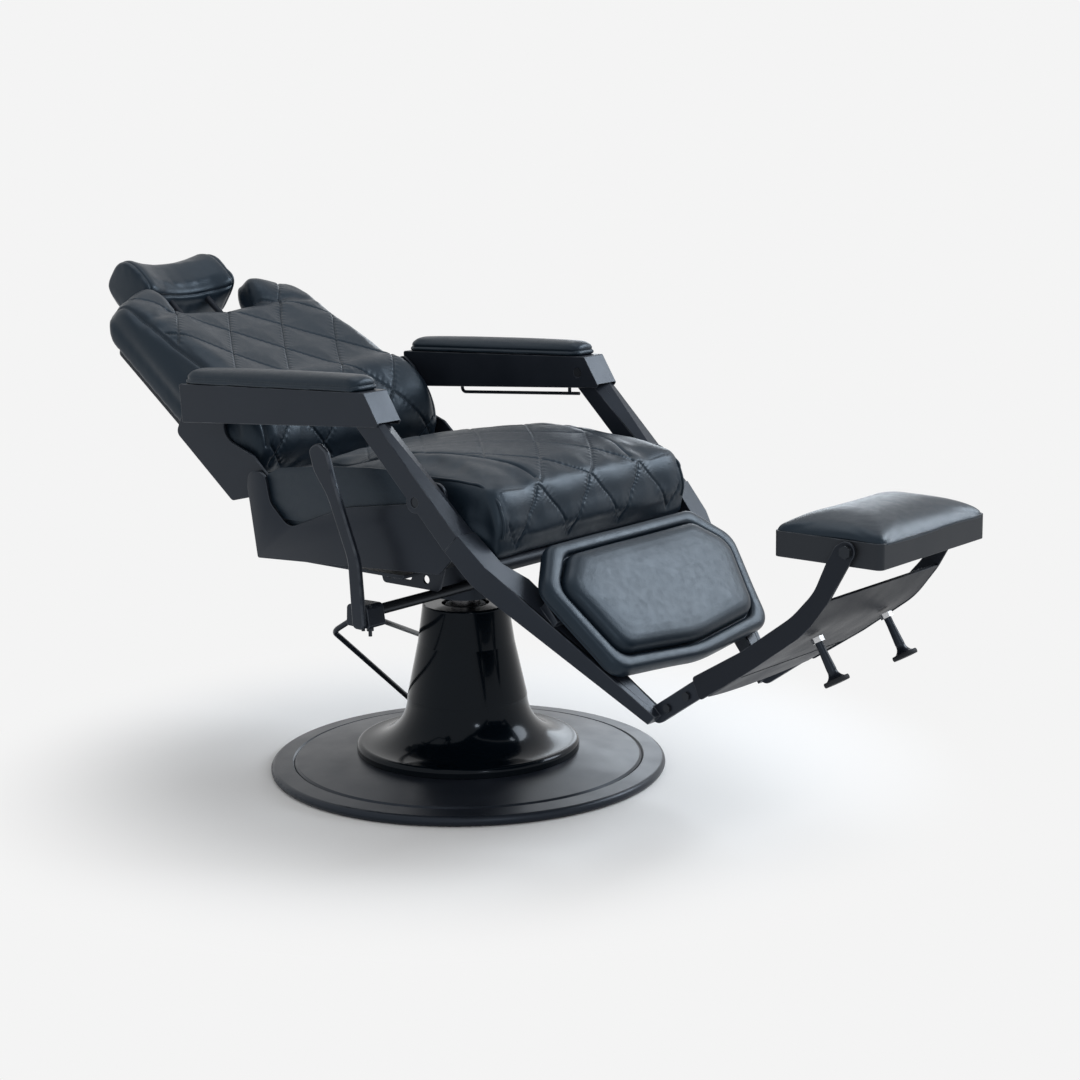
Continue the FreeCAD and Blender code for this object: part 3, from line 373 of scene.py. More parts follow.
# The parts in shade take the duller coat whose darker colour is painted shade
OWN_FINISH.update(dict.fromkeys((
    "foot_tread", "footrest_arm_left", "footrest_arm_right", "knee_tube", "headrest_posts"), SHADE_DARKENED_COAT))
OWN_FINISH.update(dict.fromkeys((
    "back_hinge_pins", "leg_pivot_pins", "armrest_rear_studs", "armrest_front_pins", "link_bolts", "flip_pivot_bolts",
    "pump_shaft", "clamp_studs", "mount_bolts", "hinge_tube", "seat_rails", "thrust_washer"), BLACKENED))
print("finishes:", sorted(FINISHES))

# %% [markdown]
# Every rigid part of the frame takes the finish of its own material slot. Pins and bolts are blackened,
# as on the real chair, where only the nuts of the stabiliser pegs shine.
# The part keeps its shape and place; only what fills its material slot changes.

# %% Dress the frame's parts
SLOTS = {name: node.data.materials[0].name.split(".")[0] for name, node in frame["nodes"].items()}
BODY_OF = {name: node["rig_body"] for name, node in frame["nodes"].items()}


def finish_of(node):
    return OWN_FINISH.get(node, FINISHES[SLOTS[node]])


for name, node in frame["nodes"].items():
    node.data.materials[0] = finish_of(name)
print("dressed", len(SLOTS), "parts")

# %% [markdown]
# Sheet and plate that has been cut and coated never ends in a knife edge: a thin bright line runs along it.
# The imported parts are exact, with sharp edges, so the plates that show get a copy whose edges are rounded
# by about a millimetre. The copy stands for the part, at the same place and the same size.
# The slanted caps at the front of the armrests also reach down to the lower edge of their beams.

# %% Rounded edges on plates, bars and boxes
SHARP_ANGLE = math.radians(30.0)
FLAT_ANGLE = math.radians(0.3)
SAME_POINT = 2e-6
# Rounding of each part's edges, mm
EDGE_ROUNDING = {
    "armrest_beam_left": 1.2, "armrest_beam_right": 1.2,
    "leg_upper_left": 1.2, "leg_upper_right": 1.2, "leg_lower_left": 1.2, "leg_lower_right": 1.2,
    "back_bracket_left": 0.9, "back_bracket_right": 0.9, "flip_pad_box": 1.0, "footrest_arm_left": 0.9,
    "footrest_arm_right": 0.9, "foot_tread": 0.8, "seat_mount_plate": 0.8, "hand_lever": 3.0,
    "lever_clamp": 1.2, "back_shell": 2.0, "calf_board": 1.0,
}
# Box round the lower edge of an armrest's cap: across, along and up
CAP_BOX = ((0.2495, 0.2995), (-0.1000, -0.0700), (0.6520, 0.6562))
CAP_INNER_Y = -0.0855
CAP_DROP = 10.8 * MM
CAP_LEAN = 0.633
CAP_THINNER = 2.2 * MM


def piece(name, mesh, body, slot, *nodes):
    """Finished piece in the scene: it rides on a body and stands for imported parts."""
    made = placed(name, mesh)
    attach(made, body)
    if nodes:
        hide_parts(*nodes)
    return made


def merged_copy(node):
    """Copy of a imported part's mesh with its doubled points merged."""
    shape = bmesh.new()
    shape.from_mesh(frame["nodes"][node].data)
    bmesh.ops.remove_doubles(shape, verts=shape.verts, dist=SAME_POINT)
    return shape


def mesh_from(shape, name):
    """Mesh of an edited shape, which is then let go."""
    mesh = bpy.data.meshes.new(name)
    shape.to_mesh(mesh)
    shape.free()
    return mesh


def coated(mesh, sharp, material):
    """Mesh that is smooth apart from edges sharper than an angle in degrees, in its finish."""
    mesh.shade_smooth()
    mesh.set_sharp_from_angle(angle=math.radians(sharp))
    mesh.materials.append(material)
    return mesh


def round_edges(shape, width, clamped):
    """Round the sharp edges, and mark the new faces where the coat is painted paler: partly wear, partly a painted edge
    highlight.
    """
    edges = [e for e in shape.edges if len(e.link_faces) == 2 and e.calc_face_angle() > SHARP_ANGLE]
    wear_and_highlight_layer = shape.faces.layers.float.new("edge_wear_and_highlight")
    made = bmesh.ops.bevel(shape, geom=edges, offset=width * MM, offset_type="OFFSET", segments=2, profile=0.5,
                           affect="EDGES", clamp_overlap=clamped)
    for face in made["faces"]:
        face[wear_and_highlight_layer] = 1.0


def longer_cap(shape):
    """Draw an armrest's end cap down to the beam's lower edge, thinner at its foot to clear the leg bar."""
    for v in shape.verts:
        if all(low < c < high for c, (low, high) in zip((abs(v.co.x), v.co.y, v.co.z), CAP_BOX)):
            thinner = CAP_THINNER if v.co.y > CAP_INNER_Y else 0.0
            v.co.y -= CAP_LEAN * CAP_DROP + thinner
            v.co.z -= CAP_DROP


def rounded_part(node, width):
    """Copy of a plate or bar with its sharp edges rounded."""
    name = node + "_rounded"
    shape = merged_copy(node)
    bmesh.ops.dissolve_limit(shape, angle_limit=FLAT_ANGLE, verts=shape.verts, edges=shape.edges)
    round_edges(shape, width, False)
    if node.startswith("armrest_beam"):
        longer_cap(shape)
    made = placed(name, coated(mesh_from(shape, name), 40.0, finish_of(node)))
    final = shaped_by(made, "WEIGHTED_NORMAL", keep_sharp=True)
    bpy.data.objects.remove(made)
    return piece(name, final, BODY_OF[node], SLOTS[node], node)


rounded = [rounded_part(node, width) for node, width in EDGE_ROUNDING.items()]
print("rounded:", {made.name: len(made.data.polygons) for made in rounded})

# %% [markdown]
# The side panels are plain folded plates that carry the back's hinge, the leg frame and the seat.
# Each is drawn as an outline with rounded corners, made thick, and its edges are rounded like the others.
# Inside the panel a flat leather gusset boxes in the seat's side, as far as the panel's hollow at the rear.

# %% Side panels and gussets
PANEL_X = (0.2470, 0.2523)
GUSSET_X = (0.2434, 0.2466)
# Corners of the outlines: along, up and radius, mm
PANEL_OUTLINE = ((241, 380, 4), (260, 500, 6), (256, 528, 17), (217, 527, 17), (207, 478, 30), (163, 440, 30),
                 (30, 489, 120), (-134, 514, 12), (-140, 550, 20), (-188, 550, 20), (-192, 500, 16), (-214, 446, 12),
                 (-172, 404, 14))
GUSSET_OUTLINE = ((-165, 462, 6), (60, 452, 20), (219, 452, 24), (223, 500, 12), (217, 524, 12), (186, 538, 24),
                  (90, 550, 60), (-20, 559, 80), (-112, 561, 12), (-152, 500, 20))


def rounded_outline(corners, steps=14):
    """Closed outline through corners, each of two places and the radius that rounds it."""
    points = [np.array(c[:2], float) for c in corners]
    line = []
    for i, radius in enumerate(c[2] for c in corners):
        before = points[i - 1] - points[i]
        after = points[(i + 1) % len(points)] - points[i]
        before /= np.linalg.norm(before)
        after /= np.linalg.norm(after)
        half = math.acos(np.clip(before @ after, -1, 1)) / 2
        reach = radius / math.tan(half)
        centre = points[i] + (before + after) / np.linalg.norm(before + after) * radius / math.sin(half)
        start = points[i] + before * reach - centre
        end = points[i] + after * reach - centre
        turn = math.atan2(start[0] * end[1] - start[1] * end[0], start @ end)
        for k in range(steps + 1):
            c, s = math.cos(turn * k / steps), math.sin(turn * k / steps)
            line.append(centre + (start[0] * c - start[1] * s, start[0] * s + start[1] * c))
    line.append(line[0])
    return np.array(line)


def side_plate(name, outline, reach, side, rounding, material):
    """Plate of an outline in the side plane, between two places across, with rounded edges."""
    flat = rounded_outline(np.array(outline) * MM, 8)[:-1]
    shape = bmesh.new()
    face = shape.faces.new([shape.verts.new((side * reach[0], y, z)) for y, z in flat])
    moved = bmesh.ops.extrude_face_region(shape, geom=[face])["geom"]
    bmesh.ops.translate(shape, vec=(side * (reach[1] - reach[0]), 0, 0),
                        verts=[v for v in moved if isinstance(v, bmesh.types.BMVert)])
    bmesh.ops.recalc_face_normals(shape, faces=shape.faces)
    round_edges(shape, rounding, True)
    return coated(mesh_from(shape, name), 35.0, material)


for side, label in ((1, "left"), (-1, "right")):
    panel = side_plate("side_panel_%s_rounded" % label, PANEL_OUTLINE, PANEL_X, side, 0.9, FINISHES["satin_black"])
    piece(panel.name, panel, "seat", "satin_black", "side_panel_" + label)
    gusset = side_plate("seat_gusset_" + label, GUSSET_OUTLINE, GUSSET_X, side, 1.2, LEATHER)
    piece(gusset.name, gusset, "seat", "upholstery")
    print(panel.name, len(panel.polygons), "faces;", gusset.name, len(gusset.polygons), "faces")

# %% [markdown]
# A cushion is foam under a sewn cover, so it is crowned, its sides pull in, and it is flat only where it rests.
# Shaping one is work on many points at once, so the next helpers hand a mesh's points over as arrays,
# relax them, and measure lengths along lines and distances to them.

# %% Pad helpers
def ramp(value, low, high):
    """Share that grows from 0 at one value to 1 at another."""
    return np.clip((value - low) / (high - low), 0, 1)


def read(items, key):
    """Array of the vectors that a mesh keeps under a key."""
    flat = np.empty(len(items) * 3, np.float32)
    items.foreach_get(key, flat)
    return flat.reshape(-1, 3).astype(float)


def points_of(mesh):
    return read(mesh.vertices, "co")


def set_points(mesh, points):
    mesh.vertices.foreach_set("co", points.astype(np.float32).ravel())
    mesh.update()


def lift_points(mesh, rise):
    """Move a mesh's points along their normals."""
    set_points(mesh, points_of(mesh) + read(mesh.vertex_normals, "vector") * rise[:, None])


def smooth_mesh(mesh, rounds, free):
    """Relax the free points of a mesh: each moves half way to the mean of its neighbours."""
    ends = np.empty(len(mesh.edges) * 2, np.int32)
    mesh.edges.foreach_get("vertices", ends)
    first, second = ends.reshape(-1, 2).T
    points = points_of(mesh)
    count = len(points)
    joined = np.bincount(first, minlength=count) + np.bincount(second, minlength=count)
    for _ in range(rounds):
        total = np.empty_like(points)
        for axis in range(3):
            total[:, axis] = (np.bincount(first, points[second, axis], count)
                              + np.bincount(second, points[first, axis], count))
        points += 0.5 * free[:, None] * (total / joined[:, None] - points)
    set_points(mesh, points)


def lengths_along(line):
    return np.concatenate([[0.0], np.cumsum(np.linalg.norm(np.diff(line, axis=0), axis=1))])


def places_on(line, lengths):
    """Points of a line at some lengths along it."""
    along = lengths_along(line)
    return np.stack([np.interp(lengths, along, column) for column in line.T], 1)


def evenly(line, step):
    """Points at an even step along a line."""
    total = lengths_along(line)[-1]
    return places_on(line, np.linspace(0, total, max(2, int(total / step) + 1)))


def distance_to(lines, points, reach):
    """Distance from each point to the nearest of some lines in space, up to a reach."""
    dense = np.concatenate([evenly(line, 1.2 * MM) for line in lines])
    tree = KDTree(len(dense))
    for i, p in enumerate(dense):
        tree.insert(p, i)
    tree.balance()
    inside = np.all((points >= dense.min(0) - reach) & (points <= dense.max(0) + reach), axis=1)
    found = np.full(len(points), reach)
    for i in np.flatnonzero(inside):
        found[i] = min(reach, tree.find(points[i])[2])
    return found


# %% [markdown]
# The back, the leg frame and the calf pad each have a plane of their own, turned about the chair's cross axis.
# Working in that plane keeps every later measure simple: across, up along the pad, and out of its face.

# %% Planes of the pads
BACK_ORIGIN = (0.240, 0.506)
BACK_LEAN = math.radians(37.0)
KNEE = (-0.281, 0.455)
LEG_LEAN = math.radians(44.5)
CALF_LEAN = math.radians(4.5)
CALF_FOOT = (-0.288, 0.0005)


class Plane:
    """Plane turned about the cross axis: across, up along it, and out of it."""

    def __init__(self, origin, lean):
        self.origin = np.array((0.0, *origin))
        c, s = math.cos(lean), math.sin(lean)
        self.axes = np.array(((1, 0, 0), (0, c, s), (0, -s, c)), float)
        self.out = self.axes[2]

    def local(self, points):
        return (points - self.origin) @ self.axes.T

    def at(self, across, up, out):
        """Points in space from their three measures, each one number or many."""
        return np.stack(np.broadcast_arrays(across, up, out), -1) @ self.axes + self.origin


BACK = Plane(BACK_ORIGIN, BACK_LEAN)
LEG = Plane(KNEE, LEG_LEAN)
CALF = Plane(LEG.at(0.0, *CALF_FOOT)[1:], LEG_LEAN + CALF_LEAN)
LEVEL = Plane((0.0, 0.0), 0.0)
print("calf pad's plane starts at", [round(float(x), 3) for x in CALF.origin])

# %% [markdown]
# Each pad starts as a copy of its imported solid, remeshed evenly and shrunk a little. Three pads are fuller than
# a plain solid can show, so they are lofted: a closed skin is drawn through a row of rings.
# The calf pad's rings are its outline, drawn in step by step from the board over the rolled rim to the shield.

# %% Bodies of the pads before stuffing
HEADREST_HALF = 0.112
HEADREST_SPAN = (0.494, 0.616)
HEADREST_DEPTH = (-0.107, -0.029)
HEADREST_SADDLE = 0.030
HEADREST_DRAW = 0.013
HEADREST_END = 0.75
# How boxy the section is below and above its middle, and behind and before it
HEADREST_BOXY = ((0.26, 0.82), (0.38, 0.80))
HEADREST_RINGS = (-1.0, -0.97, -0.9, -0.76, -0.5, -0.25, 0.0, 0.25, 0.5, 0.76, 0.9, 0.97, 1.0)
# Corners of the right half: across, up and radius
CALF_CORNERS = ((0.184, 0.254, 0.030), (0.246, 0.188, 0.036), (0.200, 0.022, 0.036), (0.0, 0.004, 0.300))
# How far each corner moves across and up for one step of inset
CALF_MOVES = ((-1, -1), (-1.2, -0.4), (-1, 1), (0, 1))
# Inset and level of a pad's section, from where it rests to its middle; mm
CALF_PROFILE = ((40, -0.6), (16, -0.6), (6, -0.2), (1, 3), (-0.6, 9), (-0.4, 16), (0.8, 21.5), (3.2, 25.4), (7, 27.4),
                (12.5, 28.2), (18.5, 27.8), (22.0, 25.8), (24.2, 20), (25.2, 16.6), (26.2, 20), (27.2, 27),
                (29.2, 33.2), (32.6, 37.4), (37.5, 40.2), (45, 42.2), (58, 43.8), (74, 44.6))
FLIP_PROFILE = ((4, 519.5), (-1.2, 520.5), (-2.6, 524.5), (-1.8, 529), (2.5, 533.5), (10, 538), (22, 543), (38, 548.5),
                (56, 553), (78, 555.5))
CALF_DITCH = (25.2 * MM, 16.6 * MM)
CALF_AROUND = 480
CALF_MIDDLE = 10
FLIP_CORNERS = ((-0.146, -0.910), (0.146, -0.910), (0.146, -0.729), (-0.146, -0.729))
FLIP_MIDDLE = -0.8
FLIP_RADIUS = 0.012


def lofted(name, rings):
    """Closed mesh through rings of as many points each, capped at both ends."""
    count = len(rings[0])
    faces = [tuple(reversed(range(count))), tuple(range((len(rings) - 1) * count, len(rings) * count))]
    for i in range(len(rings) - 1):
        for k in range(count):
            n = (k + 1) % count
            faces.append((i * count + k, i * count + n, (i + 1) * count + n, (i + 1) * count + k))
    mesh = bpy.data.meshes.new(name)
    mesh.from_pydata([tuple(p) for ring in rings for p in ring], [], faces)
    shape = bmesh.new()
    shape.from_mesh(mesh)
    bmesh.ops.recalc_face_normals(shape, faces=shape.faces)
    return mesh_from(shape, name)


def headrest_loft():
    """Saddle-shaped roll, taller towards the two ends, with a flatter face below."""
    turn = np.linspace(0, 2 * math.pi, 64, endpoint=False)
    c, s = np.cos(turn), np.sin(turn)
    rings = []
    for a in HEADREST_RINGS:
        draw = HEADREST_DRAW * max(0.0, (abs(a) - HEADREST_END) / (1 - HEADREST_END)) ** 2
        low = HEADREST_DEPTH[0] + draw
        high = HEADREST_DEPTH[1] + HEADREST_SADDLE * a * a - draw
        first, last = HEADREST_SPAN[0] + draw, HEADREST_SPAN[1] - draw
        u = (first + last) / 2 + (last - first) / 2 * np.sign(c) * np.abs(c) ** np.where(c < 0, *HEADREST_BOXY[0])
        v = (low + high) / 2 + (high - low) / 2 * np.sign(s) * np.abs(s) ** np.where(s < 0, *HEADREST_BOXY[1])
        rings.append(BACK.at(a * HEADREST_HALF, u, v))
    return lofted("headrest_loft", rings)


def calf_line(inset, level):
    """Outline of the calf pad, drawn in by an inset, at one level of its plane."""
    half = [(x + inset * a, w + inset * b, radius) for (x, w, radius), (a, b) in zip(CALF_CORNERS, CALF_MOVES)]
    flat = rounded_outline(half + [(-x, w, radius) for x, w, radius in reversed(half[:-1])])
    return CALF.at(*flat.T, level)


def calf_loft():
    """Rolled rim and raised shield, with the sewn-down groove between them."""
    rings = []
    for inset, level in evenly(np.array(CALF_PROFILE), 1.5):
        line = calf_line(inset * MM, level * MM)
        rings.append(places_on(line, np.linspace(0, lengths_along(line)[-1], CALF_AROUND, endpoint=False)))
    last = rings[-1]
    middle = last.mean(0)
    rings += [middle + (last - middle) * (1 - k / CALF_MIDDLE) for k in range(1, CALF_MIDDLE)]
    return lofted("calf_loft", rings)


def flip_loft():
    """Thin pillow with a rolled edge, a little wider than the box under it."""
    rings = []
    for inset, level in FLIP_PROFILE:
        corners = [(x - math.copysign(inset * MM, x), y + (inset if y < FLIP_MIDDLE else -inset) * MM, FLIP_RADIUS)
                   for x, y in FLIP_CORNERS]
        rings.append(LEVEL.at(*rounded_outline(corners)[:-1].T, level * MM))
    return lofted("flip_loft", rings)


SEAT_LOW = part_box("seat_cushion")[0].z
BEAM_SLOPE = -0.0416
BEAM_TOP = (0.0, 0.0, 0.686)
BEAM_UP = Vector((0, -BEAM_SLOPE, 1)).normalized()
UP = (0, 0, 1)
LOFTS = {"headrest_cushion": headrest_loft, "calf_pad": calf_loft, "flip_pad_cushion": flip_loft}
# Each pad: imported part, remesh step, shrink, cap on its swelling, smoothing rounds, rest plane, held height; mm
PADS = {
    "seat_leather": ("seat_cushion", 6.0, 4.0, 7.0, 8, ((0, 0, SEAT_LOW), UP), 8.0),
    "back_leather": ("back_cushion", 6.0, 4.0, 7.0, 8, (BACK.at(0, 0, -0.060), BACK.out), 24.0),
    "headrest_leather": ("headrest_cushion", 4.0, 3.0, 4.5, 4, (BACK.at(0, 0, -0.108), BACK.out), 5.0),
    "arm_pad_leather_left": ("armrest_pad_left", 4.0, 2.0, 3.0, 3, (BEAM_TOP, BEAM_UP), 5.0),
    "arm_pad_leather_right": ("armrest_pad_right", 4.0, 2.0, 3.0, 3, (BEAM_TOP, BEAM_UP), 5.0),
    "calf_leather": ("calf_pad", 0, 0.0, 0.0, 4, (CALF.origin, CALF.out), 2.0),
    "flip_leather": ("flip_pad_cushion", 4.0, 2.0, 3.5, 2, ((0, 0, 0.5195), UP), 2.0),
}


def pad_body(name):
    """Even mesh of a pad, shrunk everywhere but where it rests, and the mask of its free points."""
    node, voxel, shrink, cap, rounds, (spot, normal), held = PADS[name]
    made = placed(name, LOFTS[node]() if node in LOFTS else mesh_from(merged_copy(node), node + "_copy"))
    if voxel:
        made.data = shaped_by(made, "REMESH", mode="VOXEL", voxel_size=voxel * MM)
    points = points_of(made.data)
    free = ramp((points - np.array(spot)) @ np.array(normal) / MM, held, held + 4.0)
    if node == "calf_pad":
        free *= ramp(distance_to([calf_line(*CALF_DITCH)], points, 0.03) / MM, 3.0, 8.0)
    smooth_mesh(made.data, rounds, free)
    lift_points(made.data, -shrink * MM * free)
    return made, free


bodies = {name: pad_body(name) for name in PADS}
print("pad points:", {name: len(made.data.vertices) for name, (made, free) in bodies.items()})

# %% [markdown]
# Cloth simulation then blows each pad up from inside, held where it rests on its board, and no point may move
# further than a cap. All pads are simulated together, in one pass over the frames. Only the calf pad is left
# out: the pressure creases its flat shield, so it stays as it was lofted, in its stuffed shape.

# %% Stuff the pads with cloth simulation
STUFFING_FRAMES = 20
STUFFING = {"quality": 5, "mass": 0.3, "tension_stiffness": 15.0, "compression_stiffness": 15.0, "shear_stiffness": 5.0,
            "bending_stiffness": 0.5, "use_pressure": True, "uniform_pressure_force": 4.0, "vertex_group_mass": "held"}


def add_stuffing(made, free):
    """Cloth with inner pressure and no weight, held where the pad rests."""
    group = made.vertex_groups.new(name="held")
    group.add([int(i) for i in np.flatnonzero(free < 0.5)], 1.0, "REPLACE")
    cloth = made.modifiers.new("stuffing", "CLOTH")
    set_all(cloth.settings, **STUFFING)
    cloth.settings.effector_weights.gravity = 0.0
    cloth.collision_settings.use_collision = False
    set_all(cloth.point_cache, frame_start=1, frame_end=STUFFING_FRAMES)


def take_stuffing(name, made, free):
    """Keep the stuffed shape, within the pad's cap, and take the cloth off."""
    rest = points_of(made.data)
    move = points_of(evaluated(made).data) - rest
    far = np.linalg.norm(move, axis=1)
    cap = PADS[name][3] * MM
    set_points(made.data, rest + move * np.minimum(1.0, cap / np.maximum(far, 1e-9))[:, None])
    made.modifiers.remove(made.modifiers["stuffing"])
    made.vertex_groups.clear()
    smooth_mesh(made.data, 3, free)
    return round(float(np.median(far)) / MM, 1), round(float(far.max()) / MM, 1)


scene.frame_start, scene.frame_end = 1, STUFFING_FRAMES
stuffed = {name: body for name, body in bodies.items() if PADS[name][3] > 0}
for made, free in stuffed.values():
    add_stuffing(made, free)
for step in range(1, STUFFING_FRAMES + 1):
    scene.frame_set(step)
swelling = {name: take_stuffing(name, made, free) for name, (made, free) in stuffed.items()}
scene.frame_set(1)
print("swelling before the cap, median and most, mm:", swelling)

# %% [markdown]
# The cover is sewn through to its backing along crossing lines, which makes the diamonds.
# A sewn line is a narrow groove, the leather puffs up between the lines, and it puckers beside them.
# All three are moves of the mesh along its own normals, measured by the distance to the nearest sewn line,
# so they are real geometry and not only shading. The mesh is made finer beside the lines first.

# %% Seam helpers
def refined(made, near=None):
    """Mesh subdivided once all over, and once more where a point is near a seam."""
    mesh = shaped_by(made, "SUBSURF", levels=1, render_levels=1)
    if near is None:
        return mesh
    close = near(points_of(mesh))
    shape = bmesh.new()
    shape.from_mesh(mesh)
    edges = [e for e in shape.edges if close[e.verts[0].index] and close[e.verts[1].index]]
    bmesh.ops.subdivide_edges(shape, edges=edges, cuts=1, use_grid_fill=True)
    shape.to_mesh(mesh)
    shape.free()
    return mesh


def curve_through(points, steps=12):
    """Smooth line through a few points."""
    p = np.asarray(points, float)
    p = np.vstack([2 * p[0] - p[1], p, 2 * p[-1] - p[-2]])
    t = np.linspace(0, 1, steps, endpoint=False)[:, None]
    line = [0.5 * (2 * b + (c - a) * t + (2 * a - 5 * b + 4 * c - d) * t ** 2 + (3 * b - a - 3 * c + d) * t ** 3)
            for a, b, c, d in zip(p, p[1:], p[2:], p[3:])]
    return np.concatenate([*line, p[-2][None]])


def girth(line, points):
    """Length along a flat section line of the place nearest to each point."""
    best = np.full(len(points), np.inf)
    found = np.zeros(len(points))
    for a, b, start in zip(line, line[1:], lengths_along(line)):
        run = b - a
        size = math.hypot(*run)
        share = np.clip((points - a) @ run / size ** 2, 0, 1)
        gap = np.linalg.norm(points - a - share[:, None] * run, axis=1)
        nearer = gap < best
        best[nearer] = gap[nearer]
        found[nearer] = start + share[nearer] * size
    return found


def hollow(distance, width):
    """Round groove of depth 1 on the line."""
    return np.exp(-(distance / width) ** 2)


def onto(tree, points, directions, lift=0.0):
    """Points dropped onto a surface against their directions and lifted a little."""
    placed_points = []
    for p, d in zip(points, np.broadcast_to(directions, points.shape)):
        hit = tree.ray_cast(Vector(p + 0.05 * d), Vector(-d), 0.12)[0]
        if hit is not None:
            placed_points.append(np.array(hit) + lift * d)
    return np.array(placed_points)


def nearest_on(tree, points):
    return np.array([tree.find_nearest(Vector(p))[0] for p in points])


def surface_tree(mesh):
    mesh.calc_loop_triangles()
    return BVHTree.FromPolygons([v.co for v in mesh.vertices],
                                [tuple(t.vertices) for t in mesh.loop_triangles])


# %% [markdown]
# The quilting is two families of slanting lines, which cross in rows of points.
# Across the pad the points are half a step apart from row to row. Along the pad, rows are counted by the girth
# of its section, so the diamonds run over the front edge of the seat and round the roll of the back.
# Every sewn pad ends in the same way: refined, its seams drawn in with a roll of leather beside them, and smooth.

# %% Quilting and sewing
PUFF_REACH = 22.0 * MM
PUFF_LEVEL = 0.55
GROOVE_WIDTH = 2.3 * MM
PUCKER = 0.30 * MM
PUCKER_STEP = 11.0 * MM
PUCKER_AWAY = 5.0 * MM
PUCKER_WIDTH = 6.0 * MM
QUILT_FINE = 7.5 * MM
QUILT_LINES = range(-12, 13)
SEWN_SHARE = 0.4
SEWN_STEP = 2.5 * MM
THREAD_LIFT = 0.3 * MM


class Quilt:
    """Diamond quilting on a pad whose section line is known."""

    def __init__(self, plane, section, half, rows, zone, puff, groove):
        self.plane = plane
        self.section = section
        self.half = half
        self.rows = np.array(rows)
        self.zone = zone
        self.puff = puff * MM
        self.groove = groove * MM

    def distance(self, points):
        """Distance to the nearest quilting line, the length along it, and the quilted share."""
        local = self.plane.local(points)
        across, along = local[:, 0], girth(self.section, local[:, 1:])
        row = np.interp(along, self.rows, np.arange(len(self.rows)))
        row_step = np.interp(along, (self.rows[:-1] + self.rows[1:]) / 2, np.diff(self.rows))
        lean = 1 / np.hypot(1 / self.half, 1 / row_step)
        best = np.full(len(across), np.inf)
        count = np.zeros(len(across))
        for sign in (1, -1):
            a = across / self.half + sign * row
            gap = np.abs(a - 2 * np.round(a / 2)) * lean
            nearer = gap < best
            best[nearer] = gap[nearer]
            count[nearer] = (across / self.half - sign * row)[nearer] * lean[nearer]
        return best, count, self.zone(across, along)

    def relief(self, points):
        """Height of the quilted surface above the plain one."""
        gap, count, share = self.distance(points)
        puff = self.puff * (PUFF_LEVEL - hollow(gap, PUFF_REACH))
        pucker = PUCKER * np.sin(2 * math.pi * count / PUCKER_STEP) * hollow(gap - PUCKER_AWAY, PUCKER_WIDTH)
        return share * (puff + pucker - self.groove * hollow(gap, GROOVE_WIDTH))

    def near(self, points):
        gap, count, share = self.distance(points)
        return (gap < QUILT_FINE) & (share > 0.02)

    def lines(self, mesh, first_row, last_row):
        """Sewn lines on the finished surface, each a run of points inside the zone."""
        tree = surface_tree(mesh)
        row = np.linspace(first_row, last_row, 400)
        length = np.interp(row, np.arange(len(self.rows)), self.rows)
        spot = places_on(self.section, length)
        run = places_on(self.section, length + 4 * MM) - spot
        side = np.stack([-run[:, 1], run[:, 0]], 1) / np.linalg.norm(run, axis=1)[:, None]
        outward = np.column_stack([np.zeros(len(row)), side]) @ self.plane.axes
        runs = []
        for sign in (1, -1):
            for k in QUILT_LINES:
                across = self.half * (2 * k - sign * row)
                inside = self.zone(across, length) > SEWN_SHARE
                points = self.plane.at(across, *spot.T)
                for part in np.split(np.arange(len(row)), np.flatnonzero(np.diff(inside.astype(int))) + 1):
                    if len(part) > 8 and inside[part[0]]:
                        line = onto(tree, points[part], outward[part], THREAD_LIFT)
                        if len(line) > 6:
                            runs.append(evenly(line, SEWN_STEP))
        return runs


def finish_pad(name, mesh):
    """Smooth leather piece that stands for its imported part."""
    node = PADS[name][0]
    mesh.shade_smooth()
    mesh.materials.clear()
    mesh.materials.append(LEATHER)
    mesh.name = name
    bpy.data.objects.remove(bodies[name][0])
    made = piece(name, mesh, BODY_OF[node], "upholstery", node)
    print(name + ":", len(mesh.polygons), "faces")
    return made


def sew(name, seams, fine, groove, reach, quilt=None, share=None):
    """Refine a pad beside its seams and quilting, draw them in, and finish it. The groove is the seam's depth and
    width, and the roll's height, distance and width; mm."""

    def near(points):
        close = distance_to(seams, points, 0.02) < fine * MM
        return close | quilt.near(points) if quilt else close

    mesh = refined(bodies[name][0], near)
    points = points_of(mesh)
    gap = distance_to(seams, points, reach)
    depth, width, roll, away, spread = (MM * size for size in groove)
    rise = roll * hollow(gap - away, spread) - depth * hollow(gap, width)
    if quilt:
        rise += quilt.relief(points) * (share(points) if share else 1.0)
    lift_points(mesh, rise)
    return finish_pad(name, mesh)


# %% [markdown]
# The seat is one deep cushion with a rounded front. Its middle is quilted, its two sides are plain bolsters
# behind a curved seam, and a corded seam runs along the top of each side and down the front corners.

# %% Seat
SEAT_SECTION = curve_through([
    (-0.272, 0.449), (-0.298, 0.500), (-0.290, 0.538), (-0.280, 0.554), (-0.254, 0.564), (-0.172, 0.579),
    (-0.090, 0.584), (0.080, 0.565), (0.162, 0.545), (0.202, 0.512), (0.207, 0.484), (0.198, 0.449)])[::-1]
BOLSTER_SEAM = curve_through([(0.1225, -0.262), (0.125, -0.240), (0.143, -0.180), (0.162, -0.120), (0.182, -0.060),
                              (0.203, 0.020), (0.214, 0.100), (0.212, 0.165)])
SEAT_DIAMOND = 0.065
SEAT_ROWS_ON_TOP = 8
SEAT_FRONT_DROP = 0.098
SEAT_FRONT_HALF = 0.222
SEAT_FRONT_GIRTH = 0.108
SEAT_FADE = 4.0 * MM
SEAT_REAR_HEM = (0.150, 0.158)
SEAT_REAR_SHARE = 0.45
SEAT_TOP = 0.56
SEAT_WRAP = 13.0 * MM
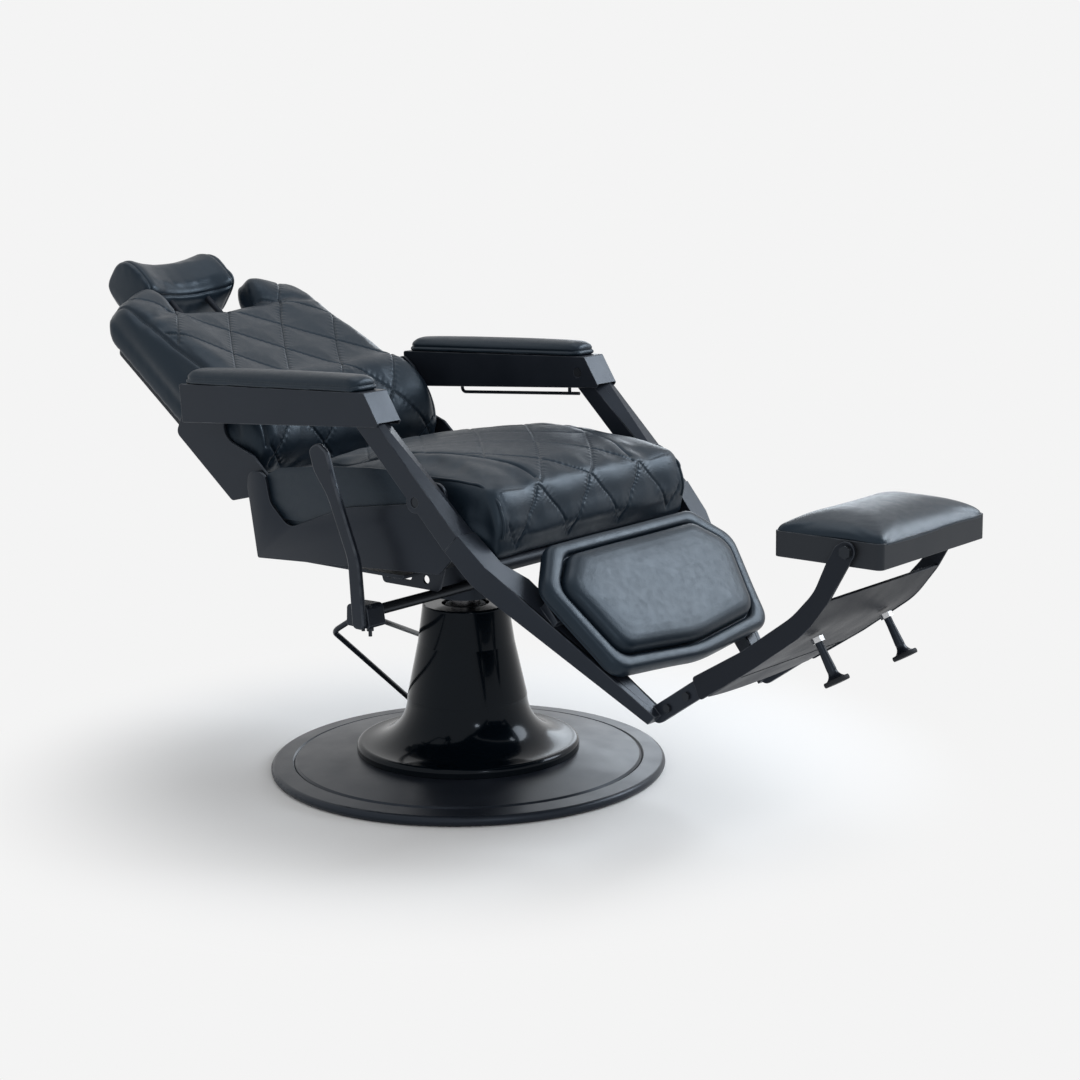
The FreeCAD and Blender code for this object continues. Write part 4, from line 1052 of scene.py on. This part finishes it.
SEAT_WRAP_SPAN = (SEAT_LOW + 16 * MM, SEAT_LOW + 4 * MM)
CORNER_WIDER = 7.0 * MM
CORNER_TALLER = 7.0 * MM
CORNER_FORWARD = 5.0 * MM
# Where a front corner's filling begins and is whole: across, along for sides and nose, up for sides and top
CORNER_ACROSS = (0.165, 0.235)
CORNER_ALONG = (-0.150, -0.230)
CORNER_NOSE = (-0.200, -0.260)
CORNER_SIDE = (0.440, 0.470)
CORNER_TOP = (0.500, 0.540)
seat_total = lengths_along(SEAT_SECTION)[-1]
seat_edge = seat_total - SEAT_FRONT_GIRTH
seat_flatter = (seat_edge - 0.16, seat_edge - 0.06)
seat_hem = (seat_total - 0.004, seat_total - 0.014)
seat_rows = [seat_edge - SEAT_DIAMOND * k for k in range(SEAT_ROWS_ON_TOP, -1, -1)] + [seat_edge + SEAT_FRONT_DROP]


def seat_zone(across, along):
    """Quilted share of the seat: between the bolster seams on top, all across the front."""
    spot = places_on(SEAT_SECTION, along)[:, 0]
    limit = np.interp(spot, BOLSTER_SEAM[:, 1], BOLSTER_SEAM[:, 0])
    limit = np.where(along > seat_edge - SEAT_FADE, SEAT_FRONT_HALF, limit)
    inside = ramp(np.abs(across), limit, limit - SEAT_FADE)
    flatter = SEAT_REAR_SHARE + (1 - SEAT_REAR_SHARE) * ramp(along, *seat_flatter)
    return inside * flatter * ramp(along, *seat_hem) * ramp(along, *SEAT_REAR_HEM)


def on_seat(tree, x, y):
    """Points dropped onto the top of the seat."""
    return onto(tree, LEVEL.at(x, y, SEAT_TOP), LEVEL.out)


def wrap_board(mesh):
    """Draw the lower edge of the leather down over the board's edge."""
    points = points_of(mesh)
    points[:, 2] -= SEAT_WRAP * ramp(points[:, 2], *SEAT_WRAP_SPAN)
    set_points(mesh, points)


def square_corners(mesh):
    """Fill out the two front corners, which the stuffing pulled in."""
    x, y, z = points_of(mesh).T
    aside = ramp(np.abs(x), *CORNER_ACROSS)
    front = aside * ramp(y, *CORNER_ALONG)
    set_points(mesh, np.column_stack([
        x + np.sign(x) * CORNER_WIDER * front * ramp(z, *CORNER_SIDE),
        y - CORNER_FORWARD * aside * ramp(y, *CORNER_NOSE),
        z + CORNER_TALLER * front * ramp(z, *CORNER_TOP)]))


seat_body = bodies["seat_leather"][0]
wrap_board(seat_body.data)
square_corners(seat_body.data)
seat_tree = surface_tree(seat_body.data)
seat_seams = [on_seat(seat_tree, *evenly(BOLSTER_SEAM * (side, 1), 4 * MM).T) for side in (-1, 1)]
seat_quilt = Quilt(LEVEL, SEAT_SECTION, SEAT_DIAMOND, seat_rows, seat_zone, 2.0, 1.9)
seat_leather = sew("seat_leather", seat_seams, 8, (3.0, 3.0, 1.5, 16, 12), 0.04, seat_quilt)

# %% [markdown]
# The back is a winged cushion: two ears beside the notch for the headrest, a sloping middle and a fat roll
# at the small of the back. The diamonds cover its whole front, from seam to seam.

# %% Back
BACK_SECTION = curve_through([
    (0.032, -0.060), (0.024, -0.008), (0.044, 0.040), (0.094, 0.072), (0.190, 0.060), (0.300, 0.033),
    (0.404, 0.007), (0.440, -0.002), (0.500, -0.010)])
BACK_SEAM_X = 0.209
BACK_SEAM_SPAN = (0.046, 0.466)
BACK_DIAMOND = 0.063
BACK_ROWS = (0.004, 0.087, 0.169, 0.251, 0.333, 0.413, 0.491, 0.570)
BACK_SEAM_FADE = (BACK_SEAM_X - 4 * MM, BACK_SEAM_X - 9 * MM)
BACK_HEM = (0.058, 0.066)
BACK_FACE = (-0.020, -0.008)
EAR_FULLER = 8.0 * MM
# Where an ear's move begins and is whole: from the notch, from the outside and from below
EAR_INNER = (0.082, 0.102)
EAR_OUTER = (0.185, 0.125)
EAR_FOOT = (0.430, 0.458)


def back_zone(across, along):
    """Quilted share of the back: between the side seams."""
    return ramp(np.abs(across), *BACK_SEAM_FADE) * ramp(along, *BACK_HEM)


def back_front(points):
    """Share of the back that looks forward, away from its board."""
    return ramp(BACK.local(points)[:, 2], *BACK_FACE)


def fuller_ears(mesh):
    """Move the inner walls of the two ears a little towards the notch."""
    x, up, out = BACK.local(points_of(mesh)).T
    wide = np.abs(x)
    share = ramp(wide, *EAR_INNER) * ramp(wide, *EAR_OUTER) * ramp(up, *EAR_FOOT)
    set_points(mesh, BACK.at(x - np.sign(x) * EAR_FULLER * share, up, out))


back_body = bodies["back_leather"][0]
back_tree = surface_tree(back_body.data)
back_seams = [onto(back_tree, BACK.at(side * BACK_SEAM_X, np.linspace(*BACK_SEAM_SPAN, 90), 0.05), BACK.out)
              for side in (-1, 1)]
fuller_ears(back_body.data)
back_quilt = Quilt(BACK, BACK_SECTION, BACK_DIAMOND, BACK_ROWS, back_zone, 2.8, 2.1)
back_leather = sew("back_leather", back_seams, 8, (3.2, 3.0, 1.2, 14, 10), 0.04, back_quilt, back_front)

# %% [markdown]
# The headrest is a soft saddle-shaped roll, sewn with one seam along its lower front edge and one round each end.

# %% Headrest
HEADREST_SEAM_X = 0.098
HEADREST_SEAM_CENTRE = (0.557, -0.060)
HEADREST_SEAM_RADIUS = (0.060, 0.050)
FRONT_SEAM_UP = 0.503
FRONT_SEAM_OUT = -0.036
FRONT_SEAM_RISE = 0.016
headrest_tree = surface_tree(bodies["headrest_leather"][0].data)
turn = np.linspace(0, 2 * math.pi, 80)
seam_up = HEADREST_SEAM_CENTRE[0] + HEADREST_SEAM_RADIUS[0] * np.cos(turn)
seam_out = HEADREST_SEAM_CENTRE[1] + HEADREST_SEAM_RADIUS[1] * np.sin(turn)
across = np.linspace(-HEADREST_SEAM_X, HEADREST_SEAM_X, 60)
headrest_seams = [nearest_on(headrest_tree, line) for line in (
    BACK.at(-HEADREST_SEAM_X, seam_up, seam_out), BACK.at(HEADREST_SEAM_X, seam_up, seam_out),
    BACK.at(across, FRONT_SEAM_UP, FRONT_SEAM_OUT + FRONT_SEAM_RISE * (across / HEADREST_HALF) ** 2))]
sew("headrest_leather", headrest_seams, 7, (2.2, 2.2, 1.0, 9, 7), 0.03)

# %% [markdown]
# The arm pads are firm: a moulded foam strip under tight leather, with one seam all round just above the beam.

# %% Arm pads
ARM_SEAM_RISE = 9.0 * MM
ARM_CORNER = 14.0 * MM


def arm_pad(label):
    """Arm pad with its seam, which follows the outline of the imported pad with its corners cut."""
    name = "arm_pad_leather_" + label
    low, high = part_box("armrest_pad_" + label)
    inner = (low.x + ARM_CORNER, high.x - ARM_CORNER, low.y + ARM_CORNER, high.y - ARM_CORNER)
    outline = [(low.x, inner[2]), (inner[0], low.y), (inner[1], low.y), (high.x, inner[2]), (high.x, inner[3]),
               (inner[1], high.y), (inner[0], high.y), (low.x, inner[3]), (low.x, inner[2])]
    x, y = evenly(np.array(outline), 3 * MM).T
    ring = LEVEL.at(x, y, BEAM_TOP[2] + BEAM_SLOPE * y + ARM_SEAM_RISE)
    seam = nearest_on(surface_tree(bodies[name][0].data), ring)
    sew(name, [seam], 5, (1.5, 1.8, 0.5, 6, 4), 0.02)


arm_pad("left")
arm_pad("right")

# %% [markdown]
# The calf pad has two tiers: a rolled rim, and a raised shield set inside it. A deep sewn groove parts them.
# Its leather is a little slack, so two slow waves run over it, and they fade out towards the groove.

# %% Calf pad
CALF_SLACK = 0.5 * MM
CALF_SLACK_WAVES = (31.0, 43.0)
CALF_SLACK_PHASES = (0.6, 1.1)
# Depth and width of the two seams
CALF_GROOVE = (1.6 * MM, 2.4 * MM)
CALF_SIDE_SEAM = (1.4 * MM, 1.8 * MM)
CALF_SIDE = (0.0, 6.0 * MM)
calf_mesh = bodies["calf_leather"][0].data
calf_tree = surface_tree(calf_mesh)
calf_points = points_of(calf_mesh)
calf_gap, calf_edge = (distance_to([nearest_on(calf_tree, evenly(calf_line(*section), 3 * MM))], calf_points, reach)
                       for section, reach in ((CALF_DITCH, 0.03), (CALF_SIDE, 0.02)))
calf_spot = CALF.local(calf_points)
calf_slack = np.sin(calf_spot[:, :2] * CALF_SLACK_WAVES + CALF_SLACK_PHASES).prod(1)
calf_rise = CALF_SLACK * calf_slack * ramp(calf_gap, 0.0, 0.03)
for gap, (depth, width) in ((calf_gap, CALF_GROOVE), (calf_edge, CALF_SIDE_SEAM)):
    calf_rise -= depth * hollow(gap, width)
lift_points(calf_mesh, calf_rise)
finish_pad("calf_leather", calf_mesh)

# %% [markdown]
# The flip pad is a thin crowned cushion, pulled down over the box it sits on, so its edge dips between corners.

# %% Flip pad
FLIP_WAVE = 2.2 * MM
FLIP_WAVE_LENGTHS = (0.16, 0.21)
FLIP_WAVE_PHASES = (-0.9, 2.0)
FLIP_RIM = (0.70, 1.0)
flip_low, flip_high = (np.array(corner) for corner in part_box("flip_pad_cushion"))
flip_mesh = refined(bodies["flip_leather"][0])
flip_points = points_of(flip_mesh)
flip_share = np.abs(flip_points - (flip_low + flip_high) / 2) / ((flip_high - flip_low) / 2)
flip_rim = ramp(flip_share[:, :2].max(1), *FLIP_RIM) ** 1.5
flip_turn = (flip_points - flip_low) * 2 * math.pi
flip_pull = np.sin(flip_turn[:, 1] / FLIP_WAVE_LENGTHS[0] + FLIP_WAVE_PHASES[0])
flip_pull += 0.5 * np.sin(flip_turn[:, 0] / FLIP_WAVE_LENGTHS[1] + FLIP_WAVE_PHASES[1])
flip_points[:, 2] += FLIP_WAVE * flip_pull * flip_rim
set_points(flip_mesh, flip_points)
finish_pad("flip_leather", flip_mesh)

# %% [markdown]
# Stitches repeat thousands of times along the sewn lines. Geometry Nodes turn each line into a curve,
# set points at the stitch's pitch and put one short bead of thread on each, turned along the line.
# A wide pitch and a round bead make the same tree set the domed screws that hold the boards of back and calf.
# The result is made real and kept as a plain mesh, one for each moving body.

# %% Trees for stitches, screws and cords
def line_tree(name, inputs):
    """Geometry tree with named sizes. It also gives the sizes' sockets, and its lines at an even step."""
    tree = bpy.data.node_groups.new(name, "GeometryNodeTree")
    tree.interface.new_socket(name="Geometry", in_out="INPUT", socket_type="NodeSocketGeometry")
    for label in inputs:
        tree.interface.new_socket(name=label, in_out="INPUT", socket_type="NodeSocketFloat")
    tree.interface.new_socket(name="Geometry", in_out="OUTPUT", socket_type="NodeSocketGeometry")
    given = tree.nodes.new("NodeGroupInput").outputs
    curve = add(tree, "GeometryNodeMeshToCurve", Mesh=given["Geometry"])
    return tree, given, add(tree, "GeometryNodeResampleCurve", {"mode": "LENGTH"}, Curve=curve, Length=given["Pitch"])


def end_tree(tree, made, material):
    """Realize what was made, give it its material and send it out."""
    real = add(tree, "GeometryNodeRealizeInstances", Geometry=made)
    smooth = add(tree, "GeometryNodeSetShadeSmooth", Geometry=real)
    add(tree, "NodeGroupOutput", Geometry=add(tree, "GeometryNodeSetMaterial", Geometry=smooth, Material=material))
    return tree


def bead_tree(name, segments, rings, material):
    """Tree that sets beads along lines, turned along them."""
    tree, given, spaced = line_tree(name, ("Pitch", "Length", "Radius"))
    half = reckon(tree, "MULTIPLY", given["Length"], 0.5)
    size = add(tree, "ShaderNodeCombineXYZ", X=half, Y=given["Radius"], Z=given["Radius"])
    bead = add(tree, "GeometryNodeMeshUVSphere", Segments=segments, Rings=rings, Radius=1.0)
    shaped = add(tree, "GeometryNodeTransform", Geometry=bead, Scale=size)
    heading = add(tree, "GeometryNodeInputTangent")
    turn = add(tree, "FunctionNodeAlignRotationToVector", {"axis": "X"}, Vector=heading)
    beads = add(tree, "GeometryNodeInstanceOnPoints", Points=spaced, Instance=shaped, Rotation=turn)
    return end_tree(tree, beads, material)


def cord_tree(name, sides, material):
    """Tree that sweeps a round cord along lines."""
    tree, given, spaced = line_tree(name, ("Radius", "Pitch"))
    circle = add(tree, "GeometryNodeCurvePrimitiveCircle", Resolution=sides, Radius=given["Radius"])
    swept = add(tree, "GeometryNodeCurveToMesh", Curve=spaced, Profile_Curve=circle, Fill_Caps=True)
    return end_tree(tree, swept, material)


def along_lines(name, lines, tree, sizes, body, slot):
    """Plain mesh of what a tree makes along some lines in space."""
    points, edges = [], []
    for line in lines:
        start = len(points)
        points.extend(tuple(p) for p in line)
        edges.extend((start + i, start + i + 1) for i in range(len(line) - 1))
    mesh = bpy.data.meshes.new(name + "_lines")
    mesh.from_pydata(points, edges, [])
    made = placed(name + "_lines", mesh)
    modifier = made.modifiers.new("nodes", "NODES")
    modifier.node_group = tree
    for item in tree.interface.items_tree:
        if item.in_out == "INPUT" and item.name in sizes:
            modifier[item.identifier] = sizes[item.name]
    final = bpy.data.meshes.new_from_object(evaluated(made))
    bpy.data.objects.remove(made)
    final.name = name
    print(name + ":", len(final.polygons), "faces")
    return piece(name, final, body, slot)


STITCHES = bead_tree("stitches", 6, 4, THREAD)
SCREWS = bead_tree("screw_heads", 12, 6, BLACKENED)
CORDS = cord_tree("seam_cord", 10, LEATHER)
STITCH_SIZES = {"Pitch": 5.2 * MM, "Length": 4.2 * MM, "Radius": 0.38 * MM}
SCREW_SIZES = {"Pitch": 78.0 * MM, "Length": 9.0 * MM, "Radius": 4.5 * MM}
CORD_SIZES = {"Pitch": 4.0 * MM, "Radius": 2.6 * MM}
print("trees:", STITCHES.name, SCREWS.name, CORDS.name)

# %% Sew the pads
seat_lines = seat_quilt.lines(seat_leather.data, 1.5, len(seat_rows) - 1.02)
back_lines = back_quilt.lines(back_leather.data, 0.6, len(BACK_ROWS) - 1.6)
along_lines("seat_stitches", seat_lines, STITCHES, STITCH_SIZES, "seat", "upholstery")
along_lines("back_stitches", back_lines, STITCHES, STITCH_SIZES, "backrest", "upholstery")

# %% [markdown]
# The seat's side seams are corded: a thin cord is wrapped in leather and sewn into the seam, so that it stands
# up as a round bead. It runs along the top of each side and turns down the front corner.

# %% Corded seams
CORD_SEAM_X = 0.229
CORD_TOP_Y = (0.150, -0.262)
CORD_CORNER_Y = -0.27
CORD_CORNER_Z = (0.528, 0.462)
FORWARD = (0.0, -1.0, 0.0)


def cord_line(tree, side):
    """Line of the corded seam along the top of one side and down the front corner."""
    top = on_seat(tree, side * CORD_SEAM_X, np.linspace(*CORD_TOP_Y, 120))
    start = LEVEL.at(side * (CORD_SEAM_X + 2 * MM), CORD_CORNER_Y, np.linspace(*CORD_CORNER_Z, 30))
    corner = onto(tree, start, FORWARD)
    return evenly(curve_through(np.vstack([top[::6], corner[::5]]), 8), 4 * MM)


sewn_seat = surface_tree(seat_leather.data)
cords = [cord_line(sewn_seat, side) for side in (-1, 1)]
along_lines("seat_seam_cords", cords, CORDS, CORD_SIZES, "seat", "upholstery")

# %% [markdown]
# Behind the back and the calf pad, a row of domed screws on each side holds the board.
# The rows are straight lines a little behind the board, moved to the nearest place on its surface.

# %% Screws behind the back and the calf pad
# Each pair of rows: board, plane, body, place across, and first and last place up
SCREW_ROWS = {
    "shell_screws": ("back_shell", BACK, "backrest", 0.165, 0.085, 0.397),
    "calf_screws": ("calf_board", CALF, "leg_frame", 0.110, 0.055, 0.211),
}


def screw_lines(node, plane, across, first, last):
    """Lines on the rear face of a board, one on each side."""
    mesh = frame["nodes"][node].data
    tree = surface_tree(mesh)
    rear = plane.local(points_of(mesh))[:, 2].min() - 4 * MM
    return [nearest_on(tree, plane.at(side * across, np.linspace(first, last, 60), rear)) for side in (-1, 1)]


for name, (node, plane, body, *places) in SCREW_ROWS.items():
    along_lines(name, screw_lines(node, plane, *places), SCREWS, SCREW_SIZES, body, "steel")
